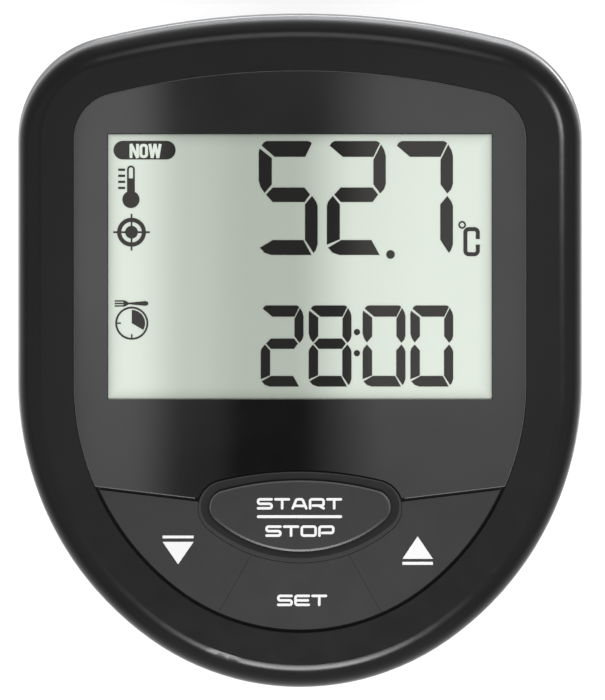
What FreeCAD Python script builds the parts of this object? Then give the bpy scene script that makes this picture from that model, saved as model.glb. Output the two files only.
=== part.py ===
"""Sous vide immersion circulator, built as a parametric FreeCAD document.

A wide control head leans towards the cook on top of a stainless steel column. The head holds the
display, four keys, the electronics and the pump motor. The column holds the heating element, the
probes and a long shaft that drives the pump at the bottom. A screw clamp behind the neck grips a
pot's wall.

Frame: millimetres, +Z up, -Y towards the cook. The origin is the centre of the flat foot under the
column. The face frame (u, v, w) is the row frame turned about X by face_tilt and moved to the
centre of the face: u is right, v is up the face and w is out of it. Face parts are modelled there.
"""

import FreeCAD, Part

import math
import os

import Sketcher
from FreeCAD import Placement, Rotation, Vector

X_AXIS = Vector(1, 0, 0)
Z_AXIS = Vector(0, 0, 1)
BEYOND = 5.0  # how far a cutting tool runs past what it cuts

doc = FreeCAD.newDocument("circulator")

# ---------------------------------------------------------------------------------------------
# Driving dimensions
# ---------------------------------------------------------------------------------------------

DRIVING = [
    # the face: where it sits and its outline
    ("face_tilt", 15, "lean of the face from level, degrees"),
    ("face_forward", 10, "how far the face's centre is ahead of the column's axis"),
    ("face_height", 335, "height of the face's centre"),
    ("face_half_width", 56.4, "half the width between the straight sides"),
    ("face_reach", 67.5, "from the face's centre to its top"),
    ("face_foot", 67.25, "from the face's centre to its bottom"),
    ("crown_radius", 169.5, "arc across the top"),
    ("corner_radius", 20.4, "upper corners"),
    ("cheek_radius", 63.2, "arcs that turn the sides in"),
    ("chin_radius", 52, "arc across the bottom"),
    # bezel and lens
    ("bezel_half_width", 56.75, "half the width of the bezel's outer edge"),
    ("bezel_crest", 67.2, "from the face's centre to the bezel's top edge"),
    ("bezel_foot", 67.65, "from the face's centre to the bezel's bottom edge"),
    ("bezel_depth", 6.5, "depth of the black front frame"),
    ("bezel_roll", 5, "radius of its rounded outer edge"),
    ("band_width", 11.05, "flat band from the outline to the lens and keys"),
    ("ledge_top", 2.6, "depth of the ledge under the face"),
    ("ledge_bottom", 4.2, "depth of the ledge's underside"),
    ("bezel_wall", 5.5, "wall of the frame behind the ledge"),
    ("lens_gap", 0.06, "gap round the lens"),
    ("lens_sink", 0.3, "lens surface under the face"),
    ("lens_thick", 1.9, "lens thickness"),
    ("mask_thick", 0.2, "black backing behind the lens"),
    ("edge_break", 0.2, "small edge breaks"),
    ("band_break", 0.08, "edge break round the bezel's opening"),
    # display
    ("window_half", 38.55, "half the width of the display window"),
    ("window_low", -9.5, "lower edge of the window, along v"),
    ("window_high", 43.75, "upper edge of the window, along v"),
    ("glass_lap", 3, "how far the display glass laps the window"),
    ("glass_thick", 2, "display glass"),
    ("light_thick", 3, "backlight panel"),
    ("holder_wall", 1.6, "wall of the display holder"),
    ("board_thick", 1.6, "circuit board thickness"),
    ("board_depth", 9.6, "front of the display board under the face"),
    # keys
    ("split_edge", -24.98, "height along v of the lens and key split, split_reach from the middle"),
    ("split_reach", 60, "half the length of the split's two slopes"),
    ("split_inner", -29.9, "height along v of the split beside the middle key"),
    ("split_half", 19, "half the width of the split's middle"),
    ("key_gap", 0.65, "gap between the keys and the band"),
    ("split_gap", 0.25, "gap on each side of the split"),
    ("seam_gap", 0.03, "gap on each side of a seam between keys"),
    ("key_sink", 0.4, "key surface under the face"),
    ("key_thick", 1.2, "key cap thickness"),
    ("stem_radius", 2, "key stem"),
    ("stem_fit", 0.08, "running fit of a stem in its hole"),
    ("stem_end", 4.5, "depth of the stems' ends under the face"),
    ("seam_high", -30, "height along v where the seams are measured first"),
    ("seam_high_half", 3.7, "half distance between the seams there"),
    ("seam_low", -60, "height along v where the seams are measured again"),
    ("seam_low_half", 20.8, "half distance between the seams there"),
    # the oval middle key and its well
    ("well_top", -24.0, "top of the well along v"),
    ("well_bottom", -42.2, "bottom of the well along v"),
    ("well_crown", 69, "arc across the top of the well"),
    ("well_chin", 28.5, "arc across the bottom of the well"),
    ("well_end", 5.5, "arcs at the well's two ends"),
    ("slope_top", -24.15, "top of the well's slope along v"),
    ("slope_bottom", -41.3, "bottom of the slope along v"),
    ("slope_crown", 69, "arc across the top of the slope"),
    ("slope_chin", 28.5, "arc across the bottom of the slope"),
    ("slope_end", 5.05, "arcs at the slope's two ends"),
    ("oval_top", -25.7, "top of the oval key along v"),
    ("oval_bottom", -39.9, "bottom of the oval key along v"),
    ("oval_crown", 60, "arc across the top of the oval key"),
    ("oval_chin", 26, "arc across the bottom of the oval key"),
    ("oval_end", 3.4, "arcs at the oval key's two ends"),
    ("oval_gap", 0.1, "gap between the well and the oval key"),
    ("well_sink", 0.4, "rim of the well under the face"),
    ("well_foot", 0.75, "lower edge of the well's slope under the face"),
    ("oval_rise", 0.15, "oval key surface above the face"),
    ("oval_base", 1.5, "oval key underside under the face"),
    ("oval_slope", 0.4, "width of the sloping rim of the oval key"),
    ("oval_fall", 0.07, "how far that rim falls"),
    ("well_gap", 0.1, "gap between the well and the keys"),
    # trim ring and head shell
    ("trim_proud", 0.8, "how far the silver trim stands out past the bezel"),
    ("trim_shift", 0.4, "how far the trim sits towards the top"),
    ("trim_top", 6.6, "top of the trim under the face"),
    ("trim_depth", 5.4, "depth of the trim ring"),
    ("trim_wall", 7, "wall of the trim ring"),
    ("gasket_inset", 3, "outer edge of the gasket, from the outline"),
    ("gasket_width", 1.5, "gasket width"),
    ("shell_top", 12.2, "top of the head shell under the face"),
    ("shell_wall", 2.4, "wall of the head shell"),
    ("post_radius", 3.5, "screw posts under the bezel"),
    ("screw_pilot", 1.6, "screw holes in those posts"),
    ("shell_inset", 0.9, "shell inside the outline at its top"),
    ("waist_inset", 7.5, "shell inside the outline at its waist"),
    ("waist_depth", 34, "depth of the waist under the face"),
    ("neck_top", 256, "height where the shell meets the neck"),
    ("neck_radius", 33, "radius of the neck's top"),
    # neck and column
    ("grip_radius", 31, "neck where the clamp bracket is fixed"),
    ("grip_top", 250, "where the neck starts to widen"),
    ("neck_wall", 3, "neck wall"),
    ("neck_foot", 190, "shoulder that the sleeve's collar meets"),
    ("motor_ledge", 217, "ledge that the motor plate rests on"),
    ("spigot_radius", 27.9, "spigot that the sleeve fits over"),
    ("spigot_bore", 25.3, "spigot, inside radius"),
    ("spigot_foot", 176, "bottom of the spigot"),
    ("sleeve_radius", 29, "stainless sleeve, outside"),
    ("sleeve_wall", 0.8, "stainless sleeve wall"),
    ("sleeve_foot", 1.5, "lower end of the sleeve"),
    ("sleeve_top", 189.5, "upper end of the sleeve"),
    ("collar_foot", 174, "bottom of the sleeve's collar"),
    ("collar_radius", 31.4, "sleeve collar"),
    ("seal_level", 183, "height of the O-ring on the spigot"),
    ("flange_thick", 3, "plate that carries the heater and probes"),
    ("flange_radius", 27.6, "radius of that plate"),
    ("hole_fit", 0.1, "gap round what passes through a plate"),
    ("tube_radius", 5.5, "shaft tube, outside"),
    ("tube_bore", 3.6, "shaft tube, inside radius"),
    ("tube_top", 182, "top of the shaft tube and of the probes"),
    ("shaft_radius", 2, "pump shaft"),
    ("heater_circle", 20, "circle that the heater's legs stand on"),
    ("heater_tube", 3.25, "radius of the heater's own tube"),
    ("heater_foot", 62, "height of the lower bends"),
    ("heater_head", 142, "height of the upper bend"),
    ("rod_circle", 23.5, "circle of the tie rods"),
    ("rod_radius", 1.6, "tie rod"),
    ("probe_offset", 15, "temperature probe from the axis"),
    ("probe_radius", 2.5, "temperature probe"),
    ("level_circle", 19, "circle of the water level rods"),
    ("level_radius", 1.5, "water level rod"),
    # pump
    ("foot_radius", 27.7, "foot under the column"),
    ("foot_thick", 8, "foot thickness"),
    ("foot_chamfer", 1.5, "edge of the foot"),
    ("pump_radius", 21.5, "pump chamber, outside"),
    ("pump_wall", 2, "pump chamber wall"),
    ("pump_foot", 24, "bottom of the pump chamber"),
    ("pump_top", 46, "top of the pump cover"),
    ("inlet_bore", 7, "water inlet in the chamber's floor"),
    ("rotor_radius", 16.5, "impeller radius"),
    ("rotor_foot", 29, "bottom of the impeller"),
    # motor
    ("motor_radius", 18, "motor can"),
    ("motor_foot", 220, "bottom of the motor can"),
    ("motor_top", 260, "top of the motor can"),
    ("spindle_radius", 1.5, "motor shaft"),
    ("fan_foot", 264, "bottom of the cooling fan"),
    ("fan_depth", 7, "depth of the cooling fan"),
    ("fan_radius", 16, "cooling fan"),
    # power electronics
    ("power_depth", 24, "front of the power board under the face"),
    ("power_inset", 15.5, "power board from the outline"),
    # clamp
    ("clamp_height", 213, "height of the clamp screw"),
    ("bracket_half", 17, "half the width of the bracket"),
    ("bracket_foot", 203, "bottom of the bracket's fixed face"),
    ("bracket_top", 248, "top of the bracket"),
    ("bracket_face", 37, "fixed face, from the column's axis"),
    ("bridge_thick", 9, "bridge over the pot's rim"),
    ("leg_inner", 66, "inside of the outer leg"),
    ("leg_thick", 8, "outer leg"),
    ("leg_foot", 199, "bottom of the outer leg"),
    ("grip_pad", 2.5, "rubber facings"),
    ("screw_radius", 4, "clamp screw"),
    ("pad_gap", 10, "gap for the pot's wall as drawn"),
    ("pad_radius", 9.5, "clamp pad"),
    ("pad_thick", 4, "clamp pad"),
    ("knob_radius", 12, "clamp knob"),
    ("knob_face", 88, "near face of the knob from the column's axis"),
    ("knob_thick", 13, "clamp knob thickness"),
    # mains inlet
    ("inlet_height", 300, "height of the mains inlet's centre"),
    ("inlet_face", 59, "face of the inlet from the column's axis"),
    ("inlet_half", 14, "half the width of the mains inlet"),
    ("inlet_tall", 20, "height of the mains inlet"),
    ("inlet_depth", 24, "depth of the mains inlet"),
]


class Size(float):
    """A number that remembers the sheet expression it came from, so it can be bound to a property."""

    def __new__(cls, value, text):
        made = float.__new__(cls, value)
        made.text = text
        return made

    def __add__(self, other):
        return Size(float(self) + float(other), f"({text_of(self)} + {text_of(other)})")

    def __sub__(self, other):
        return Size(float(self) - float(other), f"({text_of(self)} - {text_of(other)})")

    def __rsub__(self, other):
        return Size(float(other) - float(self), f"({text_of(other)} - {text_of(self)})")

    def __mul__(self, other):
        return Size(float(self) * float(other), f"({text_of(self)} * {text_of(other)})")

    def __truediv__(self, other):
        return Size(float(self) / float(other), f"({text_of(self)} / {text_of(other)})")

    def __neg__(self):
        return Size(-float(self), f"(0 - {text_of(self)})")

    __radd__ = __add__
    __rmul__ = __mul__


def text_of(value):
    """The sheet expression of a Size, or a plain number as text."""
    if isinstance(value, Size):
        return value.text
    return f"{value:.6f}" if value >= 0 else f"(0 - {-value:.6f})"


class Sheet:
    """Reads the driving dimensions back from the spreadsheet as Size values."""

    def __init__(self):
        self.cells = doc.addObject("Spreadsheet::Sheet", "sizes")
        for row, (alias, value, note) in enumerate(DRIVING, start=1):
            self.cells.set(f"A{row}", alias)
            self.cells.set(f"B{row}", str(value))
            self.cells.set(f"C{row}", note)
            self.cells.setAlias(f"B{row}", alias)
        doc.recompute()

    def __getattr__(self, alias):
        return Size(float(self.cells.get(alias)), f"sizes.{alias}")


S = Sheet()
FACE = Placement(Vector(0, -S.face_forward, S.face_height), Rotation(X_AXIS, S.face_tilt))

# ---------------------------------------------------------------------------------------------
# Helpers: binding, sketches and solids
# ---------------------------------------------------------------------------------------------


def bind(item, **values):
    """Sets properties, and binds those that are Size values to the sheet."""
    for name, value in values.items():
        if isinstance(value, Size):
            item.setExpression(name, value.text)
        else:
            setattr(item, name, value)
    return item


def at(x=0.0, y=0.0, z=0.0, turn=None):
    return Placement(Vector(float(x), float(y), float(z)), turn or Rotation())


TO_Y = Rotation(X_AXIS, -90)  # turns a solid that points along +Z to point along +Y


def primitive(kind, name, place, **sizes):
    item = bind(doc.addObject(f"Part::{kind}", name), **sizes)
    item.Placement = place
    return item


def box(name, length, width, height, x, y, z):
    """A box whose middle in x is at x, and which runs from y and z in the positive directions."""
    return primitive(
        "Box", name, at(x - length / 2.0, y, z), Length=length, Width=width, Height=height
    )


def cylinder(name, radius, height, x=0.0, y=0.0, z=0.0, turn=None):
    return primitive("Cylinder", name, at(x, y, z, turn), Radius=radius, Height=height)


def joined(name, parts):
    item = doc.addObject("Part::MultiFuse", name)
    item.Shapes = parts
    item.Refine = True
    return item


def gathered(name, parts):
    """Several solids of one kind that share one node."""
    item = doc.addObject("Part::Compound", name)
    item.Links = parts
    return item


def cut(name, base, tools):
    item = doc.addObject("Part::Cut", name)
    item.Base = base
    item.Tool = tools[0] if len(tools) == 1 else joined(name + "_tools", tools)
    return item


def common(name, base, tool):
    item = doc.addObject("Part::Common", name)
    item.Base = base
    item.Tool = tool
    return item


def new_body(name):
    return doc.addObject("PartDesign::Body", name)


def origin_plane(body, role):
    return next(f for f in body.Origin.OriginFeatures if f.Role == role)


def new_sketch(body, role="XY_Plane", level=0.0):
    """A sketch on one of the body's own origin planes, lifted by level along its normal."""
    sketch = body.newObject("Sketcher::SketchObject", body.Name + "_sketch")
    sketch.AttachmentSupport = [(origin_plane(body, role), "")]
    sketch.MapMode = "FlatFace"
    bind_level(sketch, level)
    return sketch


def bind_level(sketch, level):
    if isinstance(level, Size):
        sketch.setExpression("AttachmentOffset.Base.z", level.text)
    sketch.AttachmentOffset = at(z=level)


def hold(sketch, kind, *where):
    """Adds a constraint. A Size as its last value is bound to the sheet."""
    value = where[-1] if isinstance(where[-1], float) else None
    plain = [float(w) if isinstance(w, float) else w for w in where]
    index = sketch.addConstraint(Sketcher.Constraint(kind, *plain))
    if isinstance(value, Size):
        sketch.setExpression(f"Constraints[{index}]", value.text)


def polygon(sketch, points):
    """A closed outline through points, each held by its two distances from the origin."""
    corners = [Vector(float(x), float(y), 0) for x, y in points]
    count = len(corners)
    for i in range(count):
        sketch.addGeometry(Part.LineSegment(corners[i], corners[(i + 1) % count]), False)
    for i in range(count):
        hold(sketch, "Coincident", i, 2, (i + 1) % count, 1)
    for i, (x, y) in enumerate(points):
        hold(sketch, "DistanceX", -1, 1, i, 1, x if isinstance(x, float) else float(x))
        hold(sketch, "DistanceY", -1, 1, i, 1, y if isinstance(y, float) else float(y))
    return sketch


def ring(sketch, radius, x=0.0, y=0.0):
    """A circle held by its radius and its centre."""
    index = sketch.addGeometry(Part.Circle(Vector(float(x), float(y), 0), Z_AXIS, float(radius)), False)
    hold(sketch, "Radius", index, radius if isinstance(radius, float) else float(radius))
    hold(sketch, "DistanceX", -1, 1, index, 3, x if isinstance(x, float) else float(x))
    hold(sketch, "DistanceY", -1, 1, index, 3, y if isinstance(y, float) else float(y))
    return sketch


def pad(body, sketch, length, down=False):
    feature = body.newObject("PartDesign::Pad", body.Name + "_pad")
    feature.Profile = sketch
    feature.Reversed = down
    return bind(feature, Length=length)


def pocket(body, sketch, length, up=False):
    """Cuts against the sketch's normal, or along it with up."""
    feature = body.newObject("PartDesign::Pocket", body.Name + "_pocket")
    feature.Profile = sketch
    feature.Reversed = up
    return bind(feature, Length=length)


def spun(name, profile, place=None):
    """A body turned about Z from a profile of (radius, height) points."""
    body = new_body(name)
    sketch = polygon(new_sketch(body, "XZ_Plane"), profile)
    feature = body.newObject("PartDesign::Revolution", name + "_turn")
    feature.Profile = sketch
    feature.ReferenceAxis = (sketch, ["V_Axis"])
    feature.Angle = 360
    if place is not None:
        body.Placement = place
    return body


def dress(body, kind, size, chosen):
    """A fillet or chamfer on those edges of the body's last feature that chosen picks."""
    doc.recompute()
    base = body.Tip
    names = [f"Edge{i}" for i, e in enumerate(base.Shape.Edges, start=1) if chosen(e)]
    feature = body.newObject(f"PartDesign::{kind}", body.Name + "_" + kind.lower())
    feature.Base = (base, names)
    return bind(feature, **{"Radius" if kind == "Fillet" else "Size": size})


def level_edges(level):
    """Picks the edges that lie flat at one height."""
    return lambda e: (
        abs(e.BoundBox.ZMin - float(level)) < 1e-4 and abs(e.BoundBox.ZMax - float(level)) < 1e-4
    )


# ---------------------------------------------------------------------------------------------
# The two outlines of the face, each a chain of tangent arcs that insets evenly
# ---------------------------------------------------------------------------------------------


def arc(centre, radius, start, end):
    circle = Part.Circle(Vector(centre[0], centre[1], 0), Z_AXIS, radius)
    return Part.ArcOfCircle(circle, start, end)


def line(x0, y0, x1, y1):
    return Part.LineSegment(Vector(x0, y0, 0), Vector(x1, y1, 0))


def face_curves(inset, half, crest, foot):
    """The head's outline drawn inset from its edge, anticlockwise from the right side."""
    inset, half = float(inset), float(half)
    crown, corner = float(S.crown_radius), float(S.corner_radius)
    cheek, chin = float(S.cheek_radius), float(S.chin_radius)
    crown_y = float(crest) - crown
    chin_y = chin - float(foot)
    corner_x = half - corner
    corner_y = crown_y + math.sqrt((crown - corner) ** 2 - corner_x**2)
    cheek_x = cheek - half
    cheek_y = chin_y + math.sqrt((cheek - chin) ** 2 - cheek_x**2)
    up = math.atan2(corner_y - crown_y, corner_x)
    low = math.atan2(cheek_y - chin_y, cheek_x)
    side = half - inset
    return [
        line(side, cheek_y, side, corner_y),
        arc((corner_x, corner_y), corner - inset, 0, up),
        arc((0, crown_y), crown - inset, up, math.pi - up),
        arc((-corner_x, corner_y), corner - inset, math.pi - up, math.pi),
        line(-side, corner_y, -side, cheek_y),
        arc((cheek_x, cheek_y), cheek - inset, math.pi, math.pi + low),
        arc((0, chin_y), chin - inset, math.pi + low, 2 * math.pi - low),
        arc((-cheek_x, cheek_y), cheek - inset, 2 * math.pi - low, 2 * math.pi),
    ]


def oval_sizes(name):
    """Top, bottom, crown, chin and end of one of the three ovals: well, slope or oval."""
    return [getattr(S, name + "_" + part) for part in ("top", "bottom", "crown", "chin", "end")]


def oval_curves(name, inset):
    """An oval drawn inset from its edge, anticlockwise from the right end."""
    inset = float(inset)
    top, bottom, crown, chin, end = [float(size) for size in oval_sizes(name)]
    crown_y = top - crown
    chin_y = bottom + chin
    reach_up, reach_down = crown - end, chin - end
    between = chin_y - crown_y
    end_y = crown_y + (between + (reach_up**2 - reach_down**2) / between) / 2
    end_x = math.sqrt(reach_down**2 - (end_y - chin_y) ** 2)
    up = math.atan2(end_y - crown_y, end_x)
    low = math.atan2(chin_y - end_y, end_x)
    return [
        arc((end_x, end_y), end - inset, -low, up),
        arc((0, crown_y), crown - inset, up, math.pi - up),
        arc((-end_x, end_y), end - inset, math.pi - up, math.pi + low),
        arc((0, chin_y), chin - inset, math.pi + low, 2 * math.pi - low),
    ]


def chain(sketch, curves):
    """Adds curves as one loop whose neighbours are tangent where they meet."""
    for curve in curves:
        sketch.addGeometry(curve, False)
    for i in range(len(curves)):
        hold(sketch, "Tangent", i, 2, (i + 1) % len(curves), 1)


def centre_on_axis(sketch, index, height):
    hold(sketch, "PointOnObject", index, 3, -2)
    hold(sketch, "DistanceY", -1, 1, index, 3, height)


def outline(sketch, inset, half, crest, foot):
    """The head's outline as a constrained sketch, bound to the sheet."""
    chain(sketch, face_curves(inset, half, crest, foot))
    for index, side in ((0, 1), (4, -1)):
        hold(sketch, "Vertical", index)
        hold(sketch, "DistanceX", -1, 1, index, 1, (half - inset) * side)
    for index in (1, 3):
        hold(sketch, "Radius", index, S.corner_radius - inset)
    for index in (5, 7):
        hold(sketch, "Radius", index, S.cheek_radius - inset)
    hold(sketch, "Radius", 2, S.crown_radius - inset)
    hold(sketch, "Radius", 6, S.chin_radius - inset)
    centre_on_axis(sketch, 2, crest - S.crown_radius)
    centre_on_axis(sketch, 6, S.chin_radius - foot)
    return sketch


def face_outline(sketch, inset=0.0):
    """The outline that the lens, keys, boards and shell are drawn in from."""
    return outline(sketch, inset, S.face_half_width, S.face_reach, S.face_foot)


def bezel_outline(sketch):
    return outline(sketch, 0.0, S.bezel_half_width, S.bezel_crest, S.bezel_foot)


def oval_outline(sketch, name, inset=0.0):
    """The oval key, its well or the well's slope as a constrained sketch, bound to the sheet."""
    top, bottom, crown, chin, end = oval_sizes(name)
    chain(sketch, oval_curves(name, inset))
    for index in (0, 2):
        hold(sketch, "Radius", index, end - inset)
    hold(sketch, "Radius", 1, crown - inset)
    hold(sketch, "Radius", 3, chin - inset)
    centre_on_axis(sketch, 1, top - crown)
    centre_on_axis(sketch, 3, bottom + chin)
    return sketch


def face_plate(name, inset, top, thick, hole_inset=None):
    """A plate or ring with the face's outline, its upper side at depth top under the face."""
    body = new_body(name)
    pad(body, face_outline(new_sketch(body, level=-top), inset), thick, down=True)
    if hole_inset is not None:
        pocket(body, face_outline(new_sketch(body, level=-top), hole_inset), thick + BEYOND)
    body.Placement = FACE
    return body


def rectangle(sketch, left, right, low, high):
    return polygon(sketch, [(left, low), (right, low), (right, high), (left, high)])


finished = []


def finish(item, label):
    """Names a sub-part. Its label is its file's name."""
    item.Label = label
    finished.append(item)
    return item


# ---------------------------------------------------------------------------------------------
# Face: bezel, lens and display
# ---------------------------------------------------------------------------------------------


def window_opening(sketch, margin):
    """The display's rectangle, grown by margin."""
    half = S.window_half + margin
    return rectangle(sketch, -half, half, S.window_low - margin, S.window_high + margin)


# The head screws come up from below into posts under the bezel
SHELL_SCREWS = [(-36, 52.5), (36, 52.5), (-17, -53), (17, -53)]


def screw_circles(sketch, radius):
    for x, y in SHELL_SCREWS:
        ring(sketch, radius, x, y)
    return sketch


STEMS = {
    "start_stop_key": [(-12, -33.5), (12, -33.5)],
    "down_key": [(-33, -34), (-23.4, -45.4)],
    "up_key": [(33, -34), (23.4, -45.4)],
    "set_key": [(0, -48.5)],
}
STEM_POINTS = [point for points in STEMS.values() for point in points]

# Black front frame. The floor behind the keys guides their stems and the open part clears the display.
bezel = new_body("front_bezel")
pad(bezel, bezel_outline(new_sketch(bezel)), S.bezel_depth, down=True)
dress(bezel, "Fillet", S.bezel_roll, level_edges(0))
pocket(bezel, face_outline(new_sketch(bezel), S.band_width), S.ledge_top)



def inner_edges(edge):
    """The level edges of the face's opening, which lie well inside the rolled outer edge."""
    middle = edge.CenterOfMass
    return level_edges(0)(edge) and abs(middle.x) < 46 and abs(middle.y) < 57


dress(bezel, "Chamfer", S.band_break, inner_edges)
glass_way = window_opening(new_sketch(bezel, level=-S.ledge_top), S.glass_lap + 0.4)
pocket(bezel, glass_way, S.ledge_bottom)
hollow = face_outline(new_sketch(bezel, level=-S.bezel_depth), S.bezel_wall)
pocket(bezel, hollow, S.bezel_depth - S.ledge_bottom, up=True)
stem_holes = new_sketch(bezel, level=-S.ledge_top)
for x, y in STEM_POINTS:
    ring(stem_holes, S.stem_radius + S.stem_fit, x, y)
pocket(bezel, stem_holes, S.ledge_bottom)
screw_posts = screw_circles(new_sketch(bezel, level=-S.ledge_bottom), S.post_radius)
pad(bezel, screw_posts, S.shell_top - S.ledge_bottom - 0.1, down=True)
pilots = screw_circles(new_sketch(bezel, level=-S.shell_top), S.screw_pilot)
pocket(bezel, pilots, 9, up=True)
bezel.Placement = FACE
finish(bezel, "front_bezel")


def split_region(sketch, shift, above):
    """Everything above or below the split between the lens and the keys, moved by shift."""
    beyond = S.face_reach + BEYOND if above else -S.face_reach - BEYOND
    return polygon(
        sketch,
        [
            (-S.split_reach, S.split_edge + shift),
            (-S.split_half, S.split_inner + shift),
            (S.split_half, S.split_inner + shift),
            (S.split_reach, S.split_edge + shift),
            (S.split_reach, beyond),
            (-S.split_reach, beyond),
        ],
    )


def lens_sheet(name, extra, top, thick):
    """A sheet with the lens outline, drawn in by extra. Its lower edge leaves the split's gap."""
    body = new_body(name)
    pad(body, face_outline(new_sketch(body, level=-top), S.band_width + extra), thick, down=True)
    lower_edge = S.split_gap + extra
    pocket(body, split_region(new_sketch(body, level=-top), lower_edge, above=False), thick + BEYOND)
    pocket(body, oval_outline(new_sketch(body, level=-top), "well", -S.oval_gap - extra), thick + BEYOND)
    body.Placement = FACE
    return body


lens = lens_sheet("display_lens", S.lens_gap, S.lens_sink, S.lens_thick)
dress(lens, "Chamfer", S.edge_break, level_edges(-S.lens_sink))
finish(lens, "display_lens")

mask = lens_sheet("lens_mask", S.lens_gap + S.edge_break, S.lens_sink + S.lens_thick, S.mask_thick)
pocket(mask, window_opening(new_sketch(mask), 0), S.ledge_top)
finish(mask, "lens_mask")

# Display glass, its backlight and the tray that holds both
glass_top = S.ledge_top + 0.1
light_top = glass_top + S.glass_thick + 0.05
tray_floor = light_top + S.light_thick + 0.1
for name, top, thick in (
    ("lcd_glass", glass_top, S.glass_thick),
    ("backlight_panel", light_top, S.light_thick),
):
    sheet = new_body(name)
    pad(sheet, window_opening(new_sketch(sheet, level=-top), S.glass_lap), thick, down=True)
    sheet.Placement = FACE
    finish(sheet, name)

holder = new_body("display_holder")
holder_top = S.ledge_bottom + 0.1
pad(
    holder,
    window_opening(new_sketch(holder, level=-holder_top), S.glass_lap + 0.3 + S.holder_wall),
    S.board_depth - holder_top,
    down=True,
)
pocket(
    holder,
    window_opening(new_sketch(holder, level=-holder_top), S.glass_lap + 0.3),
    tray_floor - holder_top,
)
holder.Placement = FACE
finish(holder, "display_holder")

# ---------------------------------------------------------------------------------------------
# Keys
# ---------------------------------------------------------------------------------------------


def seam_region(sketch, side, shift):
    """Everything on one side of a seam between keys: from the seam outwards when side is set."""
    high = (S.seam_high_half + shift) * side
    low = (S.seam_low_half + shift) * side
    outer = S.split_reach * side
    return polygon(
        sketch,
        [(high, S.seam_high), (outer, S.seam_high), (outer, S.seam_low), (low, S.seam_low)],
    )


def inner_region(sketch, side, shift):
    """Everything from beyond the middle up to one seam."""
    high = (S.seam_high_half + shift) * side
    low = (S.seam_low_half + shift) * side
    outer = -S.split_reach * side
    top = S.face_reach
    return polygon(
        sketch,
        [(high, S.seam_high), (high, top), (outer, top), (outer, S.seam_low), (low, S.seam_low)],
    )


def add_stems(body, name, base):
    sketch = new_sketch(body, level=-base)
    for x, y in STEMS[name]:
        ring(sketch, S.stem_radius, x, y)
    pad(body, sketch, S.stem_end - base, down=True)


def key_cap(name):
    """The shared outline of the three flat keys, before the seams are cut."""
    body = new_body(name)
    inset = S.band_width + S.key_gap
    pad(body, face_outline(new_sketch(body, level=-S.key_sink), inset), S.key_thick, down=True)
    pocket(body, split_region(new_sketch(body, level=-S.key_sink), -S.split_gap, above=True), BEYOND)
    pocket(body, oval_outline(new_sketch(body, level=-S.key_sink), "well", -S.well_gap), BEYOND)
    return body


for name, side in (("down_key", -1), ("up_key", 1)):
    key = key_cap(name)
    pocket(key, inner_region(new_sketch(key, level=-S.key_sink), side, S.seam_gap), BEYOND)
    add_stems(key, name, S.key_sink + S.key_thick)
    key.Placement = FACE
    finish(key, name)

set_key = key_cap("set_key")
for side in (-1, 1):
    pocket(set_key, seam_region(new_sketch(set_key, level=-S.key_sink), side, -S.seam_gap), BEYOND)
above_set = new_sketch(set_key, level=-S.key_sink)
rectangle(above_set, -S.split_reach, S.split_reach, S.well_bottom + 6, S.face_reach)
pocket(set_key, above_set, BEYOND)
add_stems(set_key, "set_key", S.key_sink + S.key_thick)
set_key.Placement = FACE
finish(set_key, "set_key")

# Oval start key in its sloping well
well = new_body("key_well")
well_edge = oval_outline(new_sketch(well, level=-S.well_sink), "well")
pad(well, well_edge, S.ledge_top - S.well_sink, down=True)
slope = well.newObject("PartDesign::SubtractiveLoft", "well_slope")
slope.Profile = oval_outline(new_sketch(well, level=-S.well_sink), "slope")
slope.Sections = [oval_outline(new_sketch(well, level=-S.well_foot), "oval", -S.oval_gap)]
slope.Ruled = True
pocket(well, oval_outline(new_sketch(well), "oval", -S.oval_gap), S.ledge_top + BEYOND)
well.Placement = FACE
finish(well, "key_well")

start_key = new_body("start_stop_key")
shoulder = S.oval_rise - S.oval_fall
start_edge = oval_outline(new_sketch(start_key, level=shoulder), "oval")
pad(start_key, start_edge, shoulder + S.oval_base, down=True)
rim_slope = start_key.newObject("PartDesign::AdditiveLoft", "rim_slope")
rim_slope.Profile = oval_outline(new_sketch(start_key, level=shoulder), "oval")
rim_slope.Sections = [oval_outline(new_sketch(start_key, level=S.oval_rise), "oval", S.oval_slope)]
rim_slope.Ruled = True
add_stems(start_key, "start_stop_key", S.oval_base)
start_key.Placement = FACE
finish(start_key, "start_stop_key")

# ---------------------------------------------------------------------------------------------
# Display board, trim ring and gasket
# ---------------------------------------------------------------------------------------------

board = face_plate("display_board", 8.5, S.board_depth, S.board_thick)
pocket(board, screw_circles(new_sketch(board, level=-S.board_depth), S.post_radius + 0.4), BEYOND)
finish(board, "display_board")

# Push switches. Their buttons are drawn pressed in, so each key has its full travel above them.
switch_height = 3.4
button_top = S.stem_end + 0.95
switches = []
for i, (x, y) in enumerate(STEM_POINTS):
    body = box(f"switch_{i}", 6, 6, switch_height, x, y - 3, -S.board_depth)
    button = cylinder(f"button_{i}", 1.7, S.board_depth - button_top, x, y, -S.board_depth)
    switches.append(joined(f"tact_{i}", [body, button]))
tact_switches = gathered("tact_switches", switches)
tact_switches.Placement = FACE
finish(tact_switches, "tact_switches")

back = S.board_depth + S.board_thick
sounder = cylinder("sounder", 6, 6.5, -26, 28, -back - 6.5)
sounder_hole = cylinder("sounder_hole", 1.2, 2, -26, 28, -back - 6.5)
buzzer = cut("buzzer", sounder, [sounder_hole])
buzzer.Placement = FACE
finish(buzzer, "buzzer")


def shifted_outline(sketch, inset):
    """A trim outline. The whole sketch is moved up the face, so its own numbers stay the bezel's."""
    sketch.setExpression("AttachmentOffset.Base.y", S.trim_shift.text)
    return face_outline(sketch, inset)


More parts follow.
